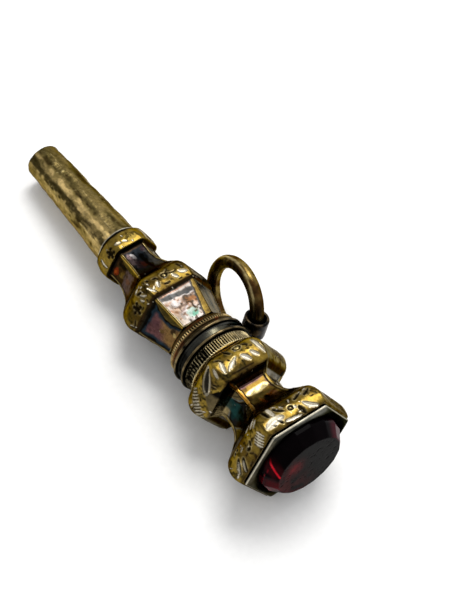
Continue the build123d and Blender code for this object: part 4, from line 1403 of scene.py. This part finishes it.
def dark_iron(name):
    """Nearly black tarnished metal with faint worn patches."""
    material, shader, feed, add, ramp, place = new_material(name)
    cloud = add("ShaderNodeTexNoise", "Fac", {"Vector": place, "Scale": 1100.0, "Detail": 5.0})
    feed(shader, {
        "Base Color": ramp(cloud, [(0.45, tint("0C0B0A")), (0.75, tint("5A4C38"))]),
        "Roughness": add("ShaderNodeMapRange", "Result", {"Value": cloud, "To Min": 0.18, "To Max": 0.5}),
        "Metallic": 1.0,
        "Normal": add("ShaderNodeBump", "Normal", {"Height": cloud, "Strength": 0.3, "Distance": 0.0001}),
    })
    return material


def red_glass():
    """Dark red stone, polished on its bevels and dulled by fine wear on its table."""
    material, shader, feed, add, _, place = new_material("red_glass")
    fine = add("ShaderNodeTexNoise", "Fac", {"Vector": place, "Scale": 2200.0, "Detail": 5.0})
    feed(shader, {
        "Base Color": mottled(add, fine, 0.75),
        "Roughness": add("ShaderNodeAttribute", "Fac", attribute_name="rough"),
        "IOR": 1.55, "Specular IOR Level": 0.012,
        "Normal": add("ShaderNodeBump", "Normal", {"Height": fine, "Strength": 0.06, "Distance": 0.00005}),
    })
    return material


def dress(piece, material, body, slot, *nodes):
    """Gives a piece its material and the body that it rides on, and hides the solids that it stands for."""
    piece.data.materials.clear()
    piece.data.materials.append(material)
    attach(piece, body)
    if nodes:
        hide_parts(*nodes)


def camera():
    """Camera at the photograph's angle and distance."""
    data = bpy.data.cameras.new("camera")
    data.lens = LENS
    data.sensor_width = 36.0
    data.clip_start = 0.01
    data.clip_end = 10.0
    turn = Matrix((Vector(CAMERA_RIGHT), -Vector(CAMERA_DOWN), -Vector(CAMERA_AHEAD))).transposed()
    view = link(bpy.data.objects.new("camera", data))
    view.matrix_world = Matrix.Translation(Vector(CAMERA_PLACE) * MM) @ turn.to_4x4()
    bpy.context.scene.camera = view


def soft_light(name, size, power, place, colour):
    """Rectangular soft light that faces the object."""
    data = bpy.data.lights.new(name, "AREA")
    data.shape = "RECTANGLE"
    data.size, data.size_y = size
    data.energy = power
    data.color = colour
    light = link(bpy.data.objects.new(name, data))
    light.location = place
    light.rotation_euler = (Vector(place) * -1).to_track_quat("-Z", "Y").to_euler()


def floor():
    """Plain sheet of white paper."""
    mesh = bpy.data.meshes.new("floor")
    corners = [(x * TABLE_REACH, y * TABLE_REACH, 0) for x, y in ((-1, -1), (1, -1), (1, 1), (-1, 1))]
    mesh.from_pydata(corners, [], [(0, 1, 2, 3)])
    piece = link(bpy.data.objects.new("floor", mesh))
    material, shader, feed, add, _, place = new_material("paper")
    fibre = add("ShaderNodeTexNoise", "Fac", {"Vector": place, "Scale": 1500.0, "Detail": 3.0})
    tone = add("ShaderNodeMapRange", "Result", {"Value": fibre, "To Min": 0.88, "To Max": 0.94})
    feed(shader, {"Base Color": tone, "Roughness": 0.9, "Specular IOR Level": 0.1})
    mesh.materials.append(material)


def surroundings():
    """Pale room, lighter on the ring's side than on the other."""
    world = bpy.data.worlds.new("room")
    feed, add, ramp = node_tools(world)
    place = add("ShaderNodeTexCoord", "Generated")
    across = add("ShaderNodeSeparateXYZ", "Y", {"Vector": place})
    share = add("ShaderNodeMapRange", "Result", {"Value": across, "From Min": -1.0})
    tone = ramp(share, [(position, (value, value, value)) for position, value in ROOM_TONES])
    feed(world.node_tree.nodes["Background"], {"Color": tone, "Strength": 1.25})
    bpy.context.scene.world = world


camera()
surroundings()
floor()
bpy.context.scene.view_settings.view_transform = "Standard"
soft_light("key", (0.27, 0.27), 1.55, (0.135, -0.20, 0.435), (1.0, 0.99, 0.97))

gold = worn_metal("worn_gold")
brass = worn_metal("worn_brass", grain=0.3, mottle=0.4, scratch=0.5)
banded = worn_metal("milled_gold", mottle=0.25)
gunmetal = worn_metal("gunmetal", mottle=0.3, edge=(0.6, 0.6, 0.58))
bronze = worn_metal("bronze", mottle=0.4, scratch=0.4)
pewter = worn_metal("pewter", mottle=0.25, scratch=0.4, edge=(0.40, 0.40, 0.36))
iron = dark_iron("dark_iron")

dress(lower_shell(), gold, "root", "gold_shell", "lower_body")
dress(upper_shell(), gold, "root", "gold_shell", "upper_body")
dress(pipe(), brass, "root", "pipe_metal", "pipe")
dress(milled_band(), banded, "root", "band_metal", "milled_band")
dress(bead_band(), banded, "root", "band_metal", "bead_ring")
dress(swivel_band(), gunmetal, "swivel", "dark_metal", "swivel_collar")
dress(eyelet(), iron, "swivel", "dark_metal")
dress(ring(), bronze, "ring", "ring_metal", "ring")
dress(bezel(), pewter, "root", "bezel_metal", "bezel")
dress(cut_stone(), red_glass(), "root", "stone", "stone")
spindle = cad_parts["spindle"]
spindle.data.materials.clear()
spindle.data.materials.append(iron)
